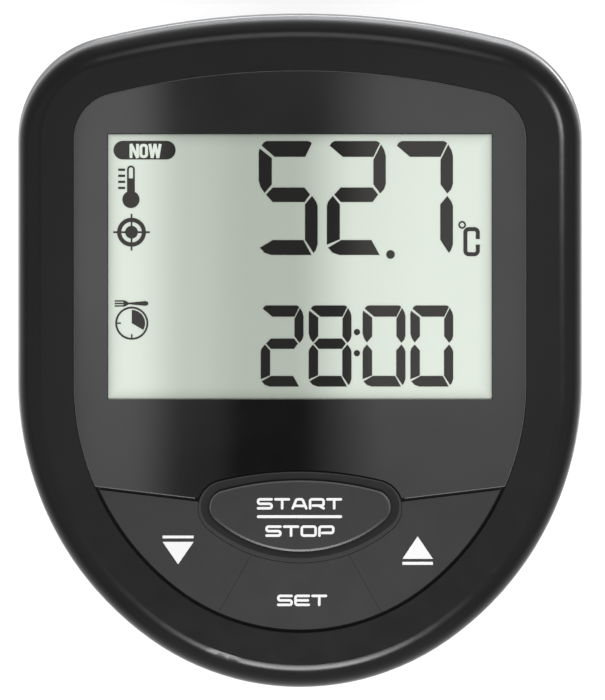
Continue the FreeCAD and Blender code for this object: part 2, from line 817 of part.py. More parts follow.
trim = new_body("trim_ring")
trim_edge = shifted_outline(new_sketch(trim, level=-S.trim_top), -S.trim_proud)
pad(trim, trim_edge, S.trim_depth, down=True)
dress(trim, "Fillet", 0.7, level_edges(-S.trim_top))
pocket(trim, face_outline(new_sketch(trim, level=-S.trim_top), S.trim_wall), S.trim_depth + BEYOND)
pocket(trim, face_outline(new_sketch(trim, level=-S.trim_top), S.gasket_inset), 0.9)
trim.Placement = FACE
finish(trim, "trim_ring")

gasket_top = S.bezel_depth + 0.02
gasket_edge = S.gasket_inset + 0.1
gasket = face_plate("face_gasket", gasket_edge, gasket_top, 0.95, gasket_edge + S.gasket_width)
finish(gasket, "face_gasket")

# ---------------------------------------------------------------------------------------------
# Head shell, its screws and the mains inlet
# ---------------------------------------------------------------------------------------------


def head_form(name, margin, top):
    """The head's outside drawn in by margin: face outline, waist, then the round top of the neck."""
    body = new_body(name)
    upper = face_outline(new_sketch(body, level=-top), S.shell_inset + margin)
    waist = face_outline(new_sketch(body, level=-S.waist_depth), S.waist_inset + margin)
    foot = new_sketch(body)
    foot.AttachmentOffset = FACE.inverse() * at(z=S.neck_top)
    radius = float(S.neck_radius - margin)
    corners = [-30, 30, 62, 118, 150, 210, 242, 298]
    for i, start in enumerate(corners):
        end = corners[(i + 1) % len(corners)]
        end += 360 if end < start else 0
        foot.addGeometry(arc((0, 0), radius, math.radians(start), math.radians(end)), False)
    last = len(corners) - 1
    for i in range(len(corners)):
        hold(foot, "Coincident", i, 2, (i + 1) % len(corners), 1)
        if i < last:
            hold(foot, "Coincident", i, 3, -1, 1)
    for i in (0, last):
        hold(foot, "Radius", i, S.neck_radius - margin)
    loft = body.newObject("PartDesign::AdditiveLoft", name + "_loft")
    loft.Profile = upper
    loft.Sections = [waist, foot]
    body.Placement = FACE
    return body


outside = head_form("head_outside", 0, S.shell_top)
cavity = head_form("head_cavity", S.shell_wall, S.shell_top - 0.01)
posts = []
screw_ways = []
for i, (x, y) in enumerate(SHELL_SCREWS):
    posts.append(cylinder(f"post_{i}", 5, 60, x, y, -S.shell_top - 60))
    screw_ways.append(cylinder(f"post_bore_{i}", 1.7, 60, x, y, -S.shell_top - 58))
    screw_ways.append(cylinder(f"post_well_{i}", 3.4, 60, x, y, -S.shell_top - 8 - 60))
post_group = joined("posts", posts)
post_group.Placement = FACE
screw_group = joined("screw_ways", screw_ways)
screw_group.Placement = FACE
inlet_low = S.inlet_height - S.inlet_tall / 2
boss = new_body("inlet_boss")
boss_half = S.inlet_half + 3.5
boss_sketch = new_sketch(boss, "XZ_Plane", level=-S.inlet_face)
rectangle(boss_sketch, -boss_half, boss_half, inlet_low - 3.5, inlet_low + S.inlet_tall + 3.5)
pad(boss, boss_sketch, 32)
dress(boss, "Fillet", 4, lambda e: abs(e.BoundBox.YLength - 32) < 1e-4)
dress(boss, "Fillet", 1.2, lambda e: e.BoundBox.YMin > float(S.inlet_face) - 1e-4)
inlet_way = box(
    "inlet_way", S.inlet_half * 2 + 0.2, 40, S.inlet_tall + 0.2, 0, S.inlet_face - 36, inlet_low - 0.1
)
wall = cut("head_wall", outside, [cavity])
inner_posts = common("inner_posts", post_group, outside)
boss_reach = box("boss_reach", 60, 40, 60, 0, S.inlet_face - 22, inlet_low - 20)
rear_half = common("boss_part", boss, boss_reach)
vents = []
for i in range(3):
    for side in (-1, 1):
        vents.append(box(f"vent_{i}_{side}", 1.8, 60, 16, side * (21 + i * 3.8), 30, 290))
shell_solid = joined("shell_solid", [wall, inner_posts, rear_half])
finish(cut("shell_form", shell_solid, [screw_group, inlet_way] + vents), "head_shell")

screws = []
for i, (x, y) in enumerate(SHELL_SCREWS):
    shank = cylinder(f"shank_{i}", 1.5, 8 + 7, x, y, -S.shell_top - 8)
    head = cylinder(f"head_{i}", 2.9, 2.2, x, y, -S.shell_top - 8 - 2.2)
    socket = cylinder(f"hex_{i}", 1.2, 1.3, x, y, -S.shell_top - 8 - 2.2)
    screws.append(cut(f"shell_screw_{i}", joined(f"shell_screw_form_{i}", [shank, head]), [socket]))
head_screws = gathered("head_screws", screws)
head_screws.Placement = FACE
finish(head_screws, "head_screws")

# Mains inlet: a socket with three pins, open to the back
mouth_depth = 16
inlet_wide = S.inlet_half * 2
inlet_back = S.inlet_face - S.inlet_depth
inlet_body = box("inlet_body", inlet_wide, S.inlet_depth, S.inlet_tall, 0, inlet_back, inlet_low)
mouth_floor = S.inlet_face - mouth_depth
mouth = box("inlet_mouth", inlet_wide - 4, mouth_depth, S.inlet_tall - 4, 0, mouth_floor, inlet_low + 2)
finish(cut("inlet_form", inlet_body, [mouth]), "mains_inlet")
pins = []
for i, (x, rise) in enumerate(((-7, -1.5), (0, 2.5), (7, -1.5))):
    pins.append(box(f"pin_{i}", 2, 12, 4, x, mouth_floor, S.inlet_height + rise - 2))
finish(gathered("inlet_pins", pins), "inlet_pins")

# ---------------------------------------------------------------------------------------------
# Power electronics, hung under their own board
# ---------------------------------------------------------------------------------------------

power = face_plate("power_board", S.power_inset, S.power_depth, S.board_thick)
pocket(power, screw_circles(new_sketch(power, level=-S.power_depth), 5.5), BEYOND)
finish(power, "power_board")

under = S.power_depth + S.board_thick
core = box("core", 26, 20, 8, -20, 8, -under - 14)
legs = [box(f"core_leg_{i}", 5, 20, 20, -20 + i * 10.5, 8, -under - 20) for i in (-1, 1)]
core_top = box("core_top", 26, 20, 5, -20, 8, -under - 20)
core_foot = box("core_foot", 26, 20, 5, -20, 8, -under - 5)
winding = box("winding", 15, 26, 9.6, -20, 5, -under - 14.8)
transformer_core = joined("transformer_core", legs + [core_top, core_foot])
transformer_core.Placement = FACE
finish(transformer_core, "transformer_core")
winding.Placement = FACE * winding.Placement
finish(winding, "transformer_winding")

relay = box("power_relay", 15, 19, 15, 22, 14, -under - 15)
relay.Placement = FACE * relay.Placement
finish(relay, "power_relay")

sink_base = box("sink_base", 26, 2, 14, 22, -12, -under - 14)
fins = [box(f"fin_{i}", 1.2, 8, 14, 22 - 12.4 + i * 4.96, -20, -under - 14) for i in range(6)]
heat_sink = joined("heat_sink", [sink_base] + fins)
heat_sink.Placement = FACE
finish(heat_sink, "heat_sink")

triac = box("triac", 10, 3, 11, 22, -9.9, -under - 12)
triac.Placement = FACE * triac.Placement
finish(triac, "triac")

cans = [cylinder(f"can_{i}", 5, 12, -30 + i * 12, -14, -under - 12) for i in range(3)]
capacitors = gathered("capacitors", cans)
capacitors.Placement = FACE
finish(capacitors, "capacitors")

ribbon = new_body("ribbon_cable")
ribbon_top = S.board_depth + S.board_thick
ribbon_foot = S.power_depth
polygon(
    new_sketch(ribbon, "YZ_Plane", level=-8),
    [
        (20, -ribbon_top - 0.1),
        (30, -ribbon_top - 0.1),
        (30, -ribbon_foot + 0.1),
        (20, -ribbon_foot + 0.1),
        (20, -ribbon_foot + 0.9),
        (29.2, -ribbon_foot + 0.9),
        (29.2, -ribbon_top - 0.9),
        (20, -ribbon_top - 0.9),
    ],
)
pad(ribbon, ribbon.Group[0], 16)
ribbon.Placement = FACE
finish(ribbon, "ribbon_cable")

# ---------------------------------------------------------------------------------------------
# Neck
# ---------------------------------------------------------------------------------------------

grip_bore = S.grip_radius - S.neck_wall
neck_form = spun(
    "neck_form",
    [
        (S.spigot_bore, S.spigot_foot),
        (S.spigot_radius, S.spigot_foot),
        (S.spigot_radius, S.seal_level - 1),
        (S.spigot_radius - 1.4, S.seal_level - 1),
        (S.spigot_radius - 1.4, S.seal_level + 1),
        (S.spigot_radius, S.seal_level + 1),
        (S.spigot_radius, S.neck_foot),
        (S.grip_radius, S.neck_foot),
        (S.grip_radius, S.grip_top),
        (S.neck_radius - 0.1, S.neck_top - 0.1),
        (S.neck_radius - S.neck_wall, S.neck_top - 0.1),
        (grip_bore, S.grip_top),
        (grip_bore, S.motor_ledge),
        (S.spigot_bore, S.motor_ledge),
    ],
)
BRACKET_SCREWS = [(-11, 224), (11, 224), (-11, 243), (11, 243)]
neck_bores = [
    cylinder(f"neck_bore_{i}", 1.8, 30, x, 15, z, TO_Y) for i, (x, z) in enumerate(BRACKET_SCREWS)
]
finish(cut("neck_cut", neck_form, neck_bores), "neck")

# ---------------------------------------------------------------------------------------------
# Column: sleeve, flange, heater, probes and rods
# ---------------------------------------------------------------------------------------------

sleeve_bore = S.sleeve_radius - S.sleeve_wall
sleeve_form = spun(
    "sleeve_form",
    [
        (sleeve_bore, S.sleeve_foot),
        (S.sleeve_radius, S.sleeve_foot),
        (S.sleeve_radius, S.sleeve_top),
        (sleeve_bore, S.sleeve_top),
    ],
)
slots = []
for i in range(4):
    turn = Rotation(Z_AXIS, 22.5 + 45 * i)
    low = primitive("Box", f"slot_{i}", Placement(), Length=70, Width=3, Height=14)
    low.Placement = Placement(turn.multVec(Vector(-35, -1.5, 0)) + Vector(0, 0, 9), turn)
    high = primitive("Box", f"vent_slot_{i}", Placement(), Length=70, Width=3, Height=9)
    high.Placement = Placement(turn.multVec(Vector(-35, -1.5, 0)) + Vector(0, 0, 152), turn)
    slots += [low, high]
for i in range(3):
    turn = Rotation(Z_AXIS, -90)
    outlet = primitive("Box", f"outlet_{i}", Placement(), Length=35, Width=14, Height=2.4)
    outlet.Placement = Placement(turn.multVec(Vector(0, -7, 0)) + Vector(0, 0, 30 + 5 * i), turn)
    slots.append(outlet)
finish(cut("sleeve_cut", sleeve_form, slots), "sleeve")

collar_form = spun(
    "collar_form",
    [
        (S.sleeve_radius + 0.02, S.collar_foot),
        (S.collar_radius - 1, S.collar_foot),
        (S.collar_radius, S.collar_foot + 1),
        (S.collar_radius, S.sleeve_top - 0.6),
        (S.collar_radius - 0.6, S.sleeve_top),
        (S.sleeve_radius + 0.02, S.sleeve_top),
    ],
)
grips = []
for i in range(24):
    turn = Rotation(Z_AXIS, 15 * i)
    centre = turn.multVec(Vector(float(S.collar_radius + 1.2), 0, 0))
    grips.append(cylinder(f"grip_{i}", 2, 8, centre.x, centre.y, 177.5))
finish(cut("collar_cut", collar_form, grips), "sleeve_collar")

seal = primitive("Torus", "o_ring", at(z=S.seal_level), Radius1=S.spigot_radius - 0.58, Radius2=0.8)
finish(seal, "sleeve_seal")


def around(radius, degrees):
    angle = math.radians(degrees)
    return (float(radius) * math.cos(angle), float(radius) * math.sin(angle))


HEATER_LEGS = [around(S.heater_circle, a) for a in (30, 70, 110, 150)]
LEVEL_RODS = [around(S.level_circle, a) for a in (-50, -130)]
TIE_RODS = [around(S.rod_circle, a) for a in (0, 180, 270)]

flange = new_body("column_flange")
flange_foot = S.spigot_foot - S.flange_thick
pad(flange, ring(new_sketch(flange, level=flange_foot), S.flange_radius), S.flange_thick)
holes = ring(new_sketch(flange, level=flange_foot), S.tube_radius + S.hole_fit)
for x, y in (HEATER_LEGS[0], HEATER_LEGS[3]):
    ring(holes, S.heater_tube + S.hole_fit, x, y)
ring(holes, S.probe_radius + S.hole_fit, 0, -S.probe_offset)
for x, y in LEVEL_RODS:
    ring(holes, S.level_radius + S.hole_fit, x, y)
for x, y in TIE_RODS:
    ring(holes, S.rod_radius + S.hole_fit, x, y)
pocket(flange, holes, S.flange_thick + 1, up=True)
finish(flange, "column_flange")


def bend(name, start, end, height, down):
    """Half a ring between two upright legs."""
    middle = Vector((start[0] + end[0]) / 2, (start[1] + end[1]) / 2, float(height))
    across = Vector(end[0] - start[0], end[1] - start[1], 0)
    rise = -Z_AXIS if down else Z_AXIS
    turn = Rotation(across.normalize(), rise, across.cross(rise), "XYZ")
    radius = S.heater_circle * math.sin(math.radians(20))
    half = primitive("Torus", name, Placement(middle, turn), Radius1=radius, Radius2=S.heater_tube)
    half.Angle3 = 180
    return half


legs = []
for i, (x, y) in enumerate(HEATER_LEGS):
    top = S.tube_top if i in (0, 3) else S.heater_head
    legs.append(cylinder(f"heater_leg_{i}", S.heater_tube, top - S.heater_foot, x, y, S.heater_foot))
bends = [
    bend("bend_right", HEATER_LEGS[0], HEATER_LEGS[1], S.heater_foot, True),
    bend("bend_middle", HEATER_LEGS[1], HEATER_LEGS[2], S.heater_head, False),
    bend("bend_left", HEATER_LEGS[2], HEATER_LEGS[3], S.heater_foot, True),
]
finish(joined("heater_form", legs + bends), "heater_coil")

tabs = []
for i, (x, y) in enumerate((HEATER_LEGS[0], HEATER_LEGS[3])):
    stud = cylinder(f"stud_{i}", 1.2, 5, x, y, S.tube_top)
    blade = box(f"blade_{i}", 6.3, 0.8, 7, x, y - 0.4, S.tube_top + 4)
    tabs.append(joined(f"terminal_{i}", [stud, blade]))
finish(gathered("heater_terminals", tabs), "heater_terminals")

probe_tip = 60
probe = new_body("temperature_probe")
probe_disc = ring(new_sketch(probe, level=probe_tip), S.probe_radius, 0, -S.probe_offset)
pad(probe, probe_disc, S.tube_top - probe_tip)
dress(probe, "Fillet", S.probe_radius - 0.3, level_edges(probe_tip))
finish(probe, "temperature_probe")

rods = []
for i, ((x, y), foot) in enumerate(zip(LEVEL_RODS, (70, 95))):
    rods.append(cylinder(f"level_rod_{i}", S.level_radius, S.tube_top - foot, x, y, foot))
finish(gathered("level_rods", rods), "level_rods")

ties = []
for i, (x, y) in enumerate(TIE_RODS):
    ties.append(cylinder(f"tie_{i}", S.rod_radius, 178.6 - 4, x, y, 4))
finish(gathered("tie_rods", ties), "tie_rods")

tube = new_body("shaft_tube")
pad(tube, ring(new_sketch(tube, level=S.pump_top), S.tube_radius), S.tube_top - S.pump_top)
pocket(tube, ring(new_sketch(tube, level=S.pump_top), S.tube_bore), S.tube_top, up=True)
finish(tube, "shaft_tube")

bushes = []
for i, foot in enumerate((50, 160)):
    outer = cylinder(f"bush_{i}", S.tube_bore - 0.02, 8, z=foot)
    bore = cylinder(f"bush_bore_{i}", S.shaft_radius + 0.05, 8, z=foot)
    bushes.append(cut(f"bush_ring_{i}", outer, [bore]))
finish(gathered("shaft_bushes", bushes), "shaft_bushes")

seal_outer = cylinder("seal_outer", S.tube_bore - 0.02, 5, z=174)
seal_bore = cylinder("seal_bore", S.shaft_radius + 0.02, 5, z=174)
finish(cut("lip_seal", seal_outer, [seal_bore]), "shaft_seal")

# ---------------------------------------------------------------------------------------------
# Pump
# ---------------------------------------------------------------------------------------------

foot = new_body("foot_base")
pad(foot, ring(new_sketch(foot), S.foot_radius), S.foot_thick)
dress(foot, "Chamfer", S.foot_chamfer, level_edges(0))
pillars = new_sketch(foot, level=S.foot_thick)
for x, y in TIE_RODS:
    ring(pillars, 3.4, x, y)
pad(foot, pillars, S.pump_foot - S.foot_thick)
rod_holes = new_sketch(foot, level=S.pump_foot)
for x, y in TIE_RODS:
    ring(rod_holes, S.rod_radius + S.hole_fit, x, y)
pocket(foot, rod_holes, 20)
finish(foot, "foot_base")

housing = new_body("pump_housing")
pad(housing, ring(new_sketch(housing, level=S.pump_foot), 27), 2)
wall_ring = ring(new_sketch(housing, level=S.pump_foot + 2), S.pump_radius)
pad(housing, wall_ring, S.pump_top - 4 - S.pump_foot)
chamber = ring(new_sketch(housing, level=S.pump_foot + 2), S.pump_radius - S.pump_wall)
pocket(housing, chamber, 30, up=True)
pocket(housing, ring(new_sketch(housing, level=S.pump_foot), S.inlet_bore), BEYOND, up=True)
housing_holes = new_sketch(housing, level=S.pump_foot)
for x, y in TIE_RODS:
    ring(housing_holes, S.rod_radius + S.hole_fit, x, y)
pocket(housing, housing_holes, 2, up=True)
port = rectangle(new_sketch(housing, "XZ_Plane"), -6, 6, 30, 40)
pocket(housing, port, 40, up=True)
finish(housing, "pump_housing")

cover = new_body("pump_cover")
cover_foot = S.pump_top - 2
pad(cover, ring(new_sketch(cover, level=cover_foot), S.pump_radius), 2)
pocket(cover, ring(new_sketch(cover, level=cover_foot), S.shaft_radius + 0.1), BEYOND, up=True)
finish(cover, "pump_cover")

vane_foot = S.rotor_foot + 1.5
disc = cylinder("rotor_disc", S.rotor_radius, 1.5, z=S.rotor_foot)
hub = cylinder("rotor_hub", 4, 13, z=S.rotor_foot)
vanes = []
for i in range(6):
    turn = Rotation(Z_AXIS, 60 * i)
    vane = primitive("Box", f"vane_{i}", Placement(), Length=S.rotor_radius - 3.5, Width=1.4, Height=9)
    vane.Placement = Placement(turn.multVec(Vector(3.3, -0.7, 0)) + Vector(0, 0, float(vane_foot)), turn)
    vanes.append(vane)
rotor_bore = cylinder("rotor_bore", S.shaft_radius + 0.01, 14, z=S.rotor_foot - 0.5)
impeller = cut("impeller_form", joined("impeller_solid", [disc, hub] + vanes), [rotor_bore])
finish(impeller, "impeller")

shaft_foot = S.rotor_foot
coupling_foot = 194
coupling_high = 214
finish(cylinder("pump_shaft", S.shaft_radius, 204 - shaft_foot, z=shaft_foot), "pump_shaft")

# ---------------------------------------------------------------------------------------------
# Motor, coupling and fan
# ---------------------------------------------------------------------------------------------

coupling = spun(
    "shaft_coupling",
    [
        (S.shaft_radius + 0.02, coupling_foot),
        (6, coupling_foot),
        (6, coupling_high),
        (S.spindle_radius + 0.02, coupling_high),
        (S.spindle_radius + 0.02, 204),
        (S.shaft_radius + 0.02, 204),
    ],
)
finish(coupling, "shaft_coupling")

mount = new_body("motor_mount")
pad(mount, ring(new_sketch(mount, level=S.motor_ledge), grip_bore - 0.1), 2.5)
mount_holes = ring(new_sketch(mount, level=S.motor_ledge), 5)
for i in range(4):
    x, y = around(23, 45 + 90 * i)
    ring(mount_holes, 2.5, x, y)
pocket(mount, mount_holes, BEYOND, up=True)
finish(mount, "motor_mount")

can_bore = S.motor_radius - 1.5
motor_can = spun(
    "motor_can",
    [
        (S.spindle_radius + 0.1, S.motor_foot),
        (S.motor_radius, S.motor_foot),
        (S.motor_radius, S.motor_top),
        (can_bore, S.motor_top),
        (can_bore, S.motor_foot + 2),
        (S.spindle_radius + 0.1, S.motor_foot + 2),
    ],
)
finish(motor_can, "motor_can")

end_cap = new_body("motor_end_cap")
pad(end_cap, ring(new_sketch(end_cap, level=S.motor_top), S.motor_radius), 2)
pocket(end_cap, ring(new_sketch(end_cap, level=S.motor_top), S.spindle_radius + 0.1), BEYOND, up=True)
finish(end_cap, "motor_end_cap")

armature_radius = 13
rotor = spun(
    "motor_rotor",
    [
        (0, 204.5),
        (S.spindle_radius, 204.5),
        (S.spindle_radius, 228),
        (armature_radius, 228),
        (armature_radius, 254),
        (S.spindle_radius, 254),
        (S.spindle_radius, 271),
        (0, 271),
    ],
)
finish(rotor, "motor_rotor")

fan_hub = cylinder("fan_hub", 5, S.fan_depth, z=S.fan_foot)
fan_bore = cylinder("fan_bore", S.spindle_radius + 0.01, 20, z=S.fan_foot - 5)
fan_middle = float(S.fan_foot + S.fan_depth / 2)
blades = []
for i in range(7):
    turn = Rotation(Z_AXIS, 360 / 7 * i) * Rotation(X_AXIS, 35)
    blade = primitive("Box", f"fan_blade_{i}", Placement(), Length=S.fan_radius - 4.5, Width=8, Height=1)
    blade.Placement = Placement(turn.multVec(Vector(4.4, -4, -0.5)) + Vector(0, 0, fan_middle), turn)
    blades.append(blade)
finish(cut("fan_form", joined("fan_solid", [fan_hub] + blades), [fan_bore]), "cooling_fan")

# ---------------------------------------------------------------------------------------------
# Pot clamp
# ---------------------------------------------------------------------------------------------

leg_outer = S.leg_inner + S.leg_thick
bridge_foot = S.bracket_top - S.bridge_thick
hook = new_body("bracket_hook")
hook_sketch = new_sketch(hook, "YZ_Plane", level=-S.bracket_half)
polygon(
    hook_sketch,
    [
        (22, S.bracket_foot),
        (S.bracket_face, S.bracket_foot),
        (S.bracket_face, bridge_foot),
        (S.leg_inner, bridge_foot),
        (S.leg_inner, S.leg_foot),
        (leg_outer, S.leg_foot),
        (leg_outer, S.bracket_top),
        (22, S.bracket_top),
    ],
)
pad(hook, hook_sketch, S.bracket_half * 2)


def across_edge(y, z):
    """Picks the edge that runs across the bracket at y and z."""
    point = Vector(0, float(y), float(z))
    return lambda e: e.BoundBox.XLength > 1 and e.CenterOfMass.distanceToPoint(point) < 0.01


dress(hook, "Fillet", 6, across_edge(leg_outer, S.bracket_top))
dress(hook, "Fillet", 2.5, across_edge(S.leg_inner, bridge_foot))
dress(hook, "Fillet", 3, across_edge(leg_outer, S.leg_foot))
dress(hook, "Fillet", 1.5, lambda e: e.BoundBox.XLength < 1e-4 and e.CenterOfMass.y > 38)
screw_boss = cylinder("screw_boss", 8, 3 + S.leg_thick, 0, S.leg_inner, S.clamp_height, TO_Y)
neck_way = cylinder("neck_way", S.grip_radius + 0.02, 80, z=190)
screw_way = cylinder("screw_way", S.screw_radius + 0.08, 40, 0, 50, S.clamp_height, TO_Y)
bracket_bores = [
    cylinder(f"bracket_bore_{i}", 1.7, 9, x, 26, z, TO_Y) for i, (x, z) in enumerate(BRACKET_SCREWS)
]
bracket_solid = joined("bracket_solid", [hook, screw_boss])
bracket_ways = [neck_way, screw_way] + bracket_bores
finish(cut("bracket_form", bracket_solid, bracket_ways), "clamp_bracket")

facing_wide = S.bracket_half * 2 - 4
facing = box("clamp_facing", facing_wide, S.grip_pad, 30, 0, S.bracket_face, S.bracket_foot + 2)
finish(facing, "clamp_facing")

bolts = []
for i, (x, z) in enumerate(BRACKET_SCREWS):
    shank = cylinder(f"bolt_shank_{i}", 1.6, 11, x, 23.5, z, TO_Y)
    head = cylinder(f"bolt_head_{i}", 3, 2, x, 21.5, z, TO_Y)
    bolts.append(joined(f"bolt_{i}", [shank, head]))
finish(gathered("bracket_screws", bolts), "bracket_screws")

pad_face = S.bracket_face + S.grip_pad + S.pad_gap
disc_face = pad_face + S.grip_pad
facing_disc = cylinder(
    "facing_disc", S.pad_radius - 0.5, S.grip_pad, 0, pad_face, S.clamp_height, TO_Y
)
finish(facing_disc, "pad_facing")
pad_disc = spun(
    "pad_disc",
    [(0, 0), (S.pad_radius, 0), (S.pad_radius, 1.5), (5.5, S.pad_thick), (0, S.pad_thick)],
    at(0, disc_face, S.clamp_height, TO_Y),
)
finish(pad_disc, "clamp_pad")

screw_foot = disc_face + S.pad_thick + 0.1
screw_length = S.knob_face + 8 - screw_foot
screw = cylinder("screw_bar", S.screw_radius, screw_length, 0, screw_foot, S.clamp_height, TO_Y)
finish(screw, "clamp_screw")

knob_disc = spun(
    "knob_disc",
    [
        (0, 0),
        (S.knob_radius - 3, 0),
        (S.knob_radius, 2),
        (S.knob_radius, S.knob_thick - 1.5),
        (S.knob_radius - 1.5, S.knob_thick),
        (0, S.knob_thick),
    ],
    at(0, S.knob_face, S.clamp_height, TO_Y),
)
knob_cuts = [
    cylinder("knob_bore", S.screw_radius + 0.01, 8.1, 0, S.knob_face - 0.05, S.clamp_height, TO_Y)
]
for i in range(8):
    x, z = around(S.knob_radius + 2, 22.5 + 45 * i)
    knob_cuts.append(cylinder(f"knob_flute_{i}", 3.2, 30, x, S.knob_face - 5, S.clamp_height + z, TO_Y))
finish(cut("knob_form", knob_disc, knob_cuts), "clamp_knob")

# ---------------------------------------------------------------------------------------------
# Check every piece, then write it
# ---------------------------------------------------------------------------------------------

doc.recompute()
for item in doc.Objects:
    if "Invalid" in item.State or "Error" in item.State:
        raise RuntimeError(f"{item.Label} did not rebuild: {item.State}")
os.makedirs("parts", exist_ok=True)
for item in finished:
    shape = item.Shape
    if shape.isNull() or not shape.isValid() or shape.Volume <= 0:
        raise RuntimeError(f"{item.Label} has no sound solid")
    shape.exportStep(f"parts/{item.Label}.step")
    print(f"{item.Label}: {len(shape.Solids)} solids, {shape.Volume / 1000:.2f} cm3")
print(f"{len(finished)} nodes")
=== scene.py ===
"""Looks for the sous vide circulator: materials, display, printing, lights and camera.

Lengths on the face are in millimetres: u to the right, v up the face, w out of it, from the
middle of the face. FACE turns them into the row frame, in metres.
"""

import math

import bpy
from mathutils import Matrix, Vector


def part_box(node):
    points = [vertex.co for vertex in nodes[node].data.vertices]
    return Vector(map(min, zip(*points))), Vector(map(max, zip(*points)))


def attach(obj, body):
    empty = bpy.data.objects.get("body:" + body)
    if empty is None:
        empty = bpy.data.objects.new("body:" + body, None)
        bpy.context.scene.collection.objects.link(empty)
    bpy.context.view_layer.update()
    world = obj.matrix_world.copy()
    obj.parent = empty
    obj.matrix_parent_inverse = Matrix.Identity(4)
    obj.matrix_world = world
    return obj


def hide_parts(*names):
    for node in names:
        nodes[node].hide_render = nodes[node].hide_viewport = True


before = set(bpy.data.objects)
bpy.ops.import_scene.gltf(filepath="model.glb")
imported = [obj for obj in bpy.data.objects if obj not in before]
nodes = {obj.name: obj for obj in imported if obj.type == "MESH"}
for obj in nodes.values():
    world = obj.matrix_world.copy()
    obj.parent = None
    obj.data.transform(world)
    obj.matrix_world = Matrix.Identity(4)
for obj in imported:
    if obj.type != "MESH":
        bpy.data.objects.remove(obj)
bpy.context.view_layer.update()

MM = 0.001
TILT = math.radians(15)
FACE_CENTRE = Vector((0, -0.010, 0.335))
FACE = (
    Matrix.Translation(FACE_CENTRE)
    @ Matrix.Rotation(TILT, 4, "X")
    @ Matrix.Scale(MM, 4)
)

# The display window in the lens
WINDOW = {"left": -38.55, "right": 38.55, "low": -9.5, "high": 43.75}

# Faces that the printed shapes lie on, and how far they stand out of them
LCD_TOP = -2.7
OVAL_TOP = 0.15
KEY_TOP = -0.4
INK_RISE, LABEL_RISE, PRINT_RISE = 0.1, 0.14, 0.02


# ---------------------------------------------------------------------------------------------
# Shader helpers
# ---------------------------------------------------------------------------------------------


class Shader:
    """A node tree with short names for the nodes that the materials here use."""

    def __init__(self, name):
        self.material = bpy.data.materials.new(name)
        self.material.use_nodes = True
        tree = self.material.node_tree
        self.nodes, self.links = tree.nodes, tree.links
        self.surface = self.nodes["Principled BSDF"]
        self.output = self.nodes["Material Output"]

    def add(self, kind, **settings):
        node = self.nodes.new("ShaderNode" + kind)
        for key, value in settings.items():
            setattr(node, key, value)
        return node

    def feed(self, socket, value):
        if isinstance(value, bpy.types.NodeSocket):
            self.links.new(value, socket)
        else:
            socket.default_value = value

    def place(self):
        """Object coordinates, in metres of the row frame."""
        return self.add("TexCoord").outputs["Object"]

    def scaled(self, scale):
        node = self.add("Mapping")
        self.feed(node.inputs["Vector"], self.place())
        node.inputs["Scale"].default_value = scale
        return node.outputs["Vector"]

    def noise(self, scale, detail=3.0, rough=0.5, vector=None):
        node = self.add("TexNoise")
        self.feed(node.inputs["Vector"], vector or self.place())
        node.inputs["Scale"].default_value = scale
        node.inputs["Detail"].default_value = detail
        node.inputs["Roughness"].default_value = rough
        return node.outputs["Fac"]

    def math(self, operation, a, b=0.0):
        node = self.add("Math", operation=operation)
        for socket, value in zip(node.inputs, (a, b)):
            self.feed(socket, value)
        return node.outputs["Value"]

    def product(self, first, *others):
        for other in others:
            first = self.math("MULTIPLY", first, other)
        return first

    def span(self, value, low, high, out_low=0.0, out_high=1.0, smooth=True):
        node = self.add("MapRange", interpolation_type="SMOOTHSTEP" if smooth else "LINEAR")
        for name, entry in (
            ("Value", value),
            ("From Min", low),
            ("From Max", high),
            ("To Min", out_low),
            ("To Max", out_high),
        ):
            self.feed(node.inputs[name], entry)
        return node.outputs["Result"]

    def even(self, noise, low, high):
        """A noise's middle range, spread out from low to high."""
        return self.span(noise, 0.3, 0.7, low, high)

    def mix(self, factor, a, b):
        node = self.add("Mix", data_type="RGBA")
        self.feed(node.inputs["Factor"], factor)
        self.feed(node.inputs["A"], a)
        self.feed(node.inputs["B"], b)
        return node.outputs["Result"]

    def bump(self, height, strength, depth):
        """A bump of depth millimetres."""
        node = self.add("Bump")
        node.inputs["Strength"].default_value = strength
        node.inputs["Distance"].default_value = depth * MM
        self.feed(node.inputs["Height"], height)
        self.feed(self.surface.inputs["Normal"], node.outputs["Normal"])

    def set(self, **values):
        for key, value in values.items():
            self.feed(self.surface.inputs[key.replace("_", " ")], value)

    def uniform(self, socket, value):
        """A number that is the same all over the surface, on the shader's own socket."""
        self.surface.inputs[socket].default_value = value

    def row_axes(self):
        """The three object coordinates, in metres."""
        split = self.add("SeparateXYZ")
        self.feed(split.inputs["Vector"], self.place())
        return split.outputs[0], split.outputs[1], split.outputs[2]

    def face_axis(self, axis):
        """One face coordinate, u, v or w, in metres."""
        split = self.add("SeparateXYZ")
        moved = self.add("VectorMath", operation="SUBTRACT")
        self.feed(moved.inputs[0], self.place())
        moved.inputs[1].default_value = FACE_CENTRE
        turned = self.add("VectorRotate", rotation_type="X_AXIS")
        self.feed(turned.inputs["Vector"], moved.outputs["Vector"])
        turned.inputs["Angle"].default_value = -TILT
        self.feed(split.inputs["Vector"], turned.outputs["Vector"])
        return split.outputs["uvw".index(axis)]

    def window_distance(self):
        """Distance inwards from the display window's nearest edge, in metres."""
        u = self.face_axis("u")
        v = self.face_axis("v")
        left = self.math("SUBTRACT", u, WINDOW["left"] * MM)
        right = self.math("SUBTRACT", WINDOW["right"] * MM, u)
        low = self.math("SUBTRACT", v, WINDOW["low"] * MM)
        high = self.math("SUBTRACT", WINDOW["high"] * MM, v)
        across = self.math("MINIMUM", left, right)
        return self.math("MINIMUM", across, self.math("MINIMUM", low, high))


def opaque(red, green, blue):
    return (red, green, blue, 1.0)


def grey(value):
    return opaque(value, value, value)


def shade(colour, share):
    return opaque(*(part * share for part in colour[:3]))


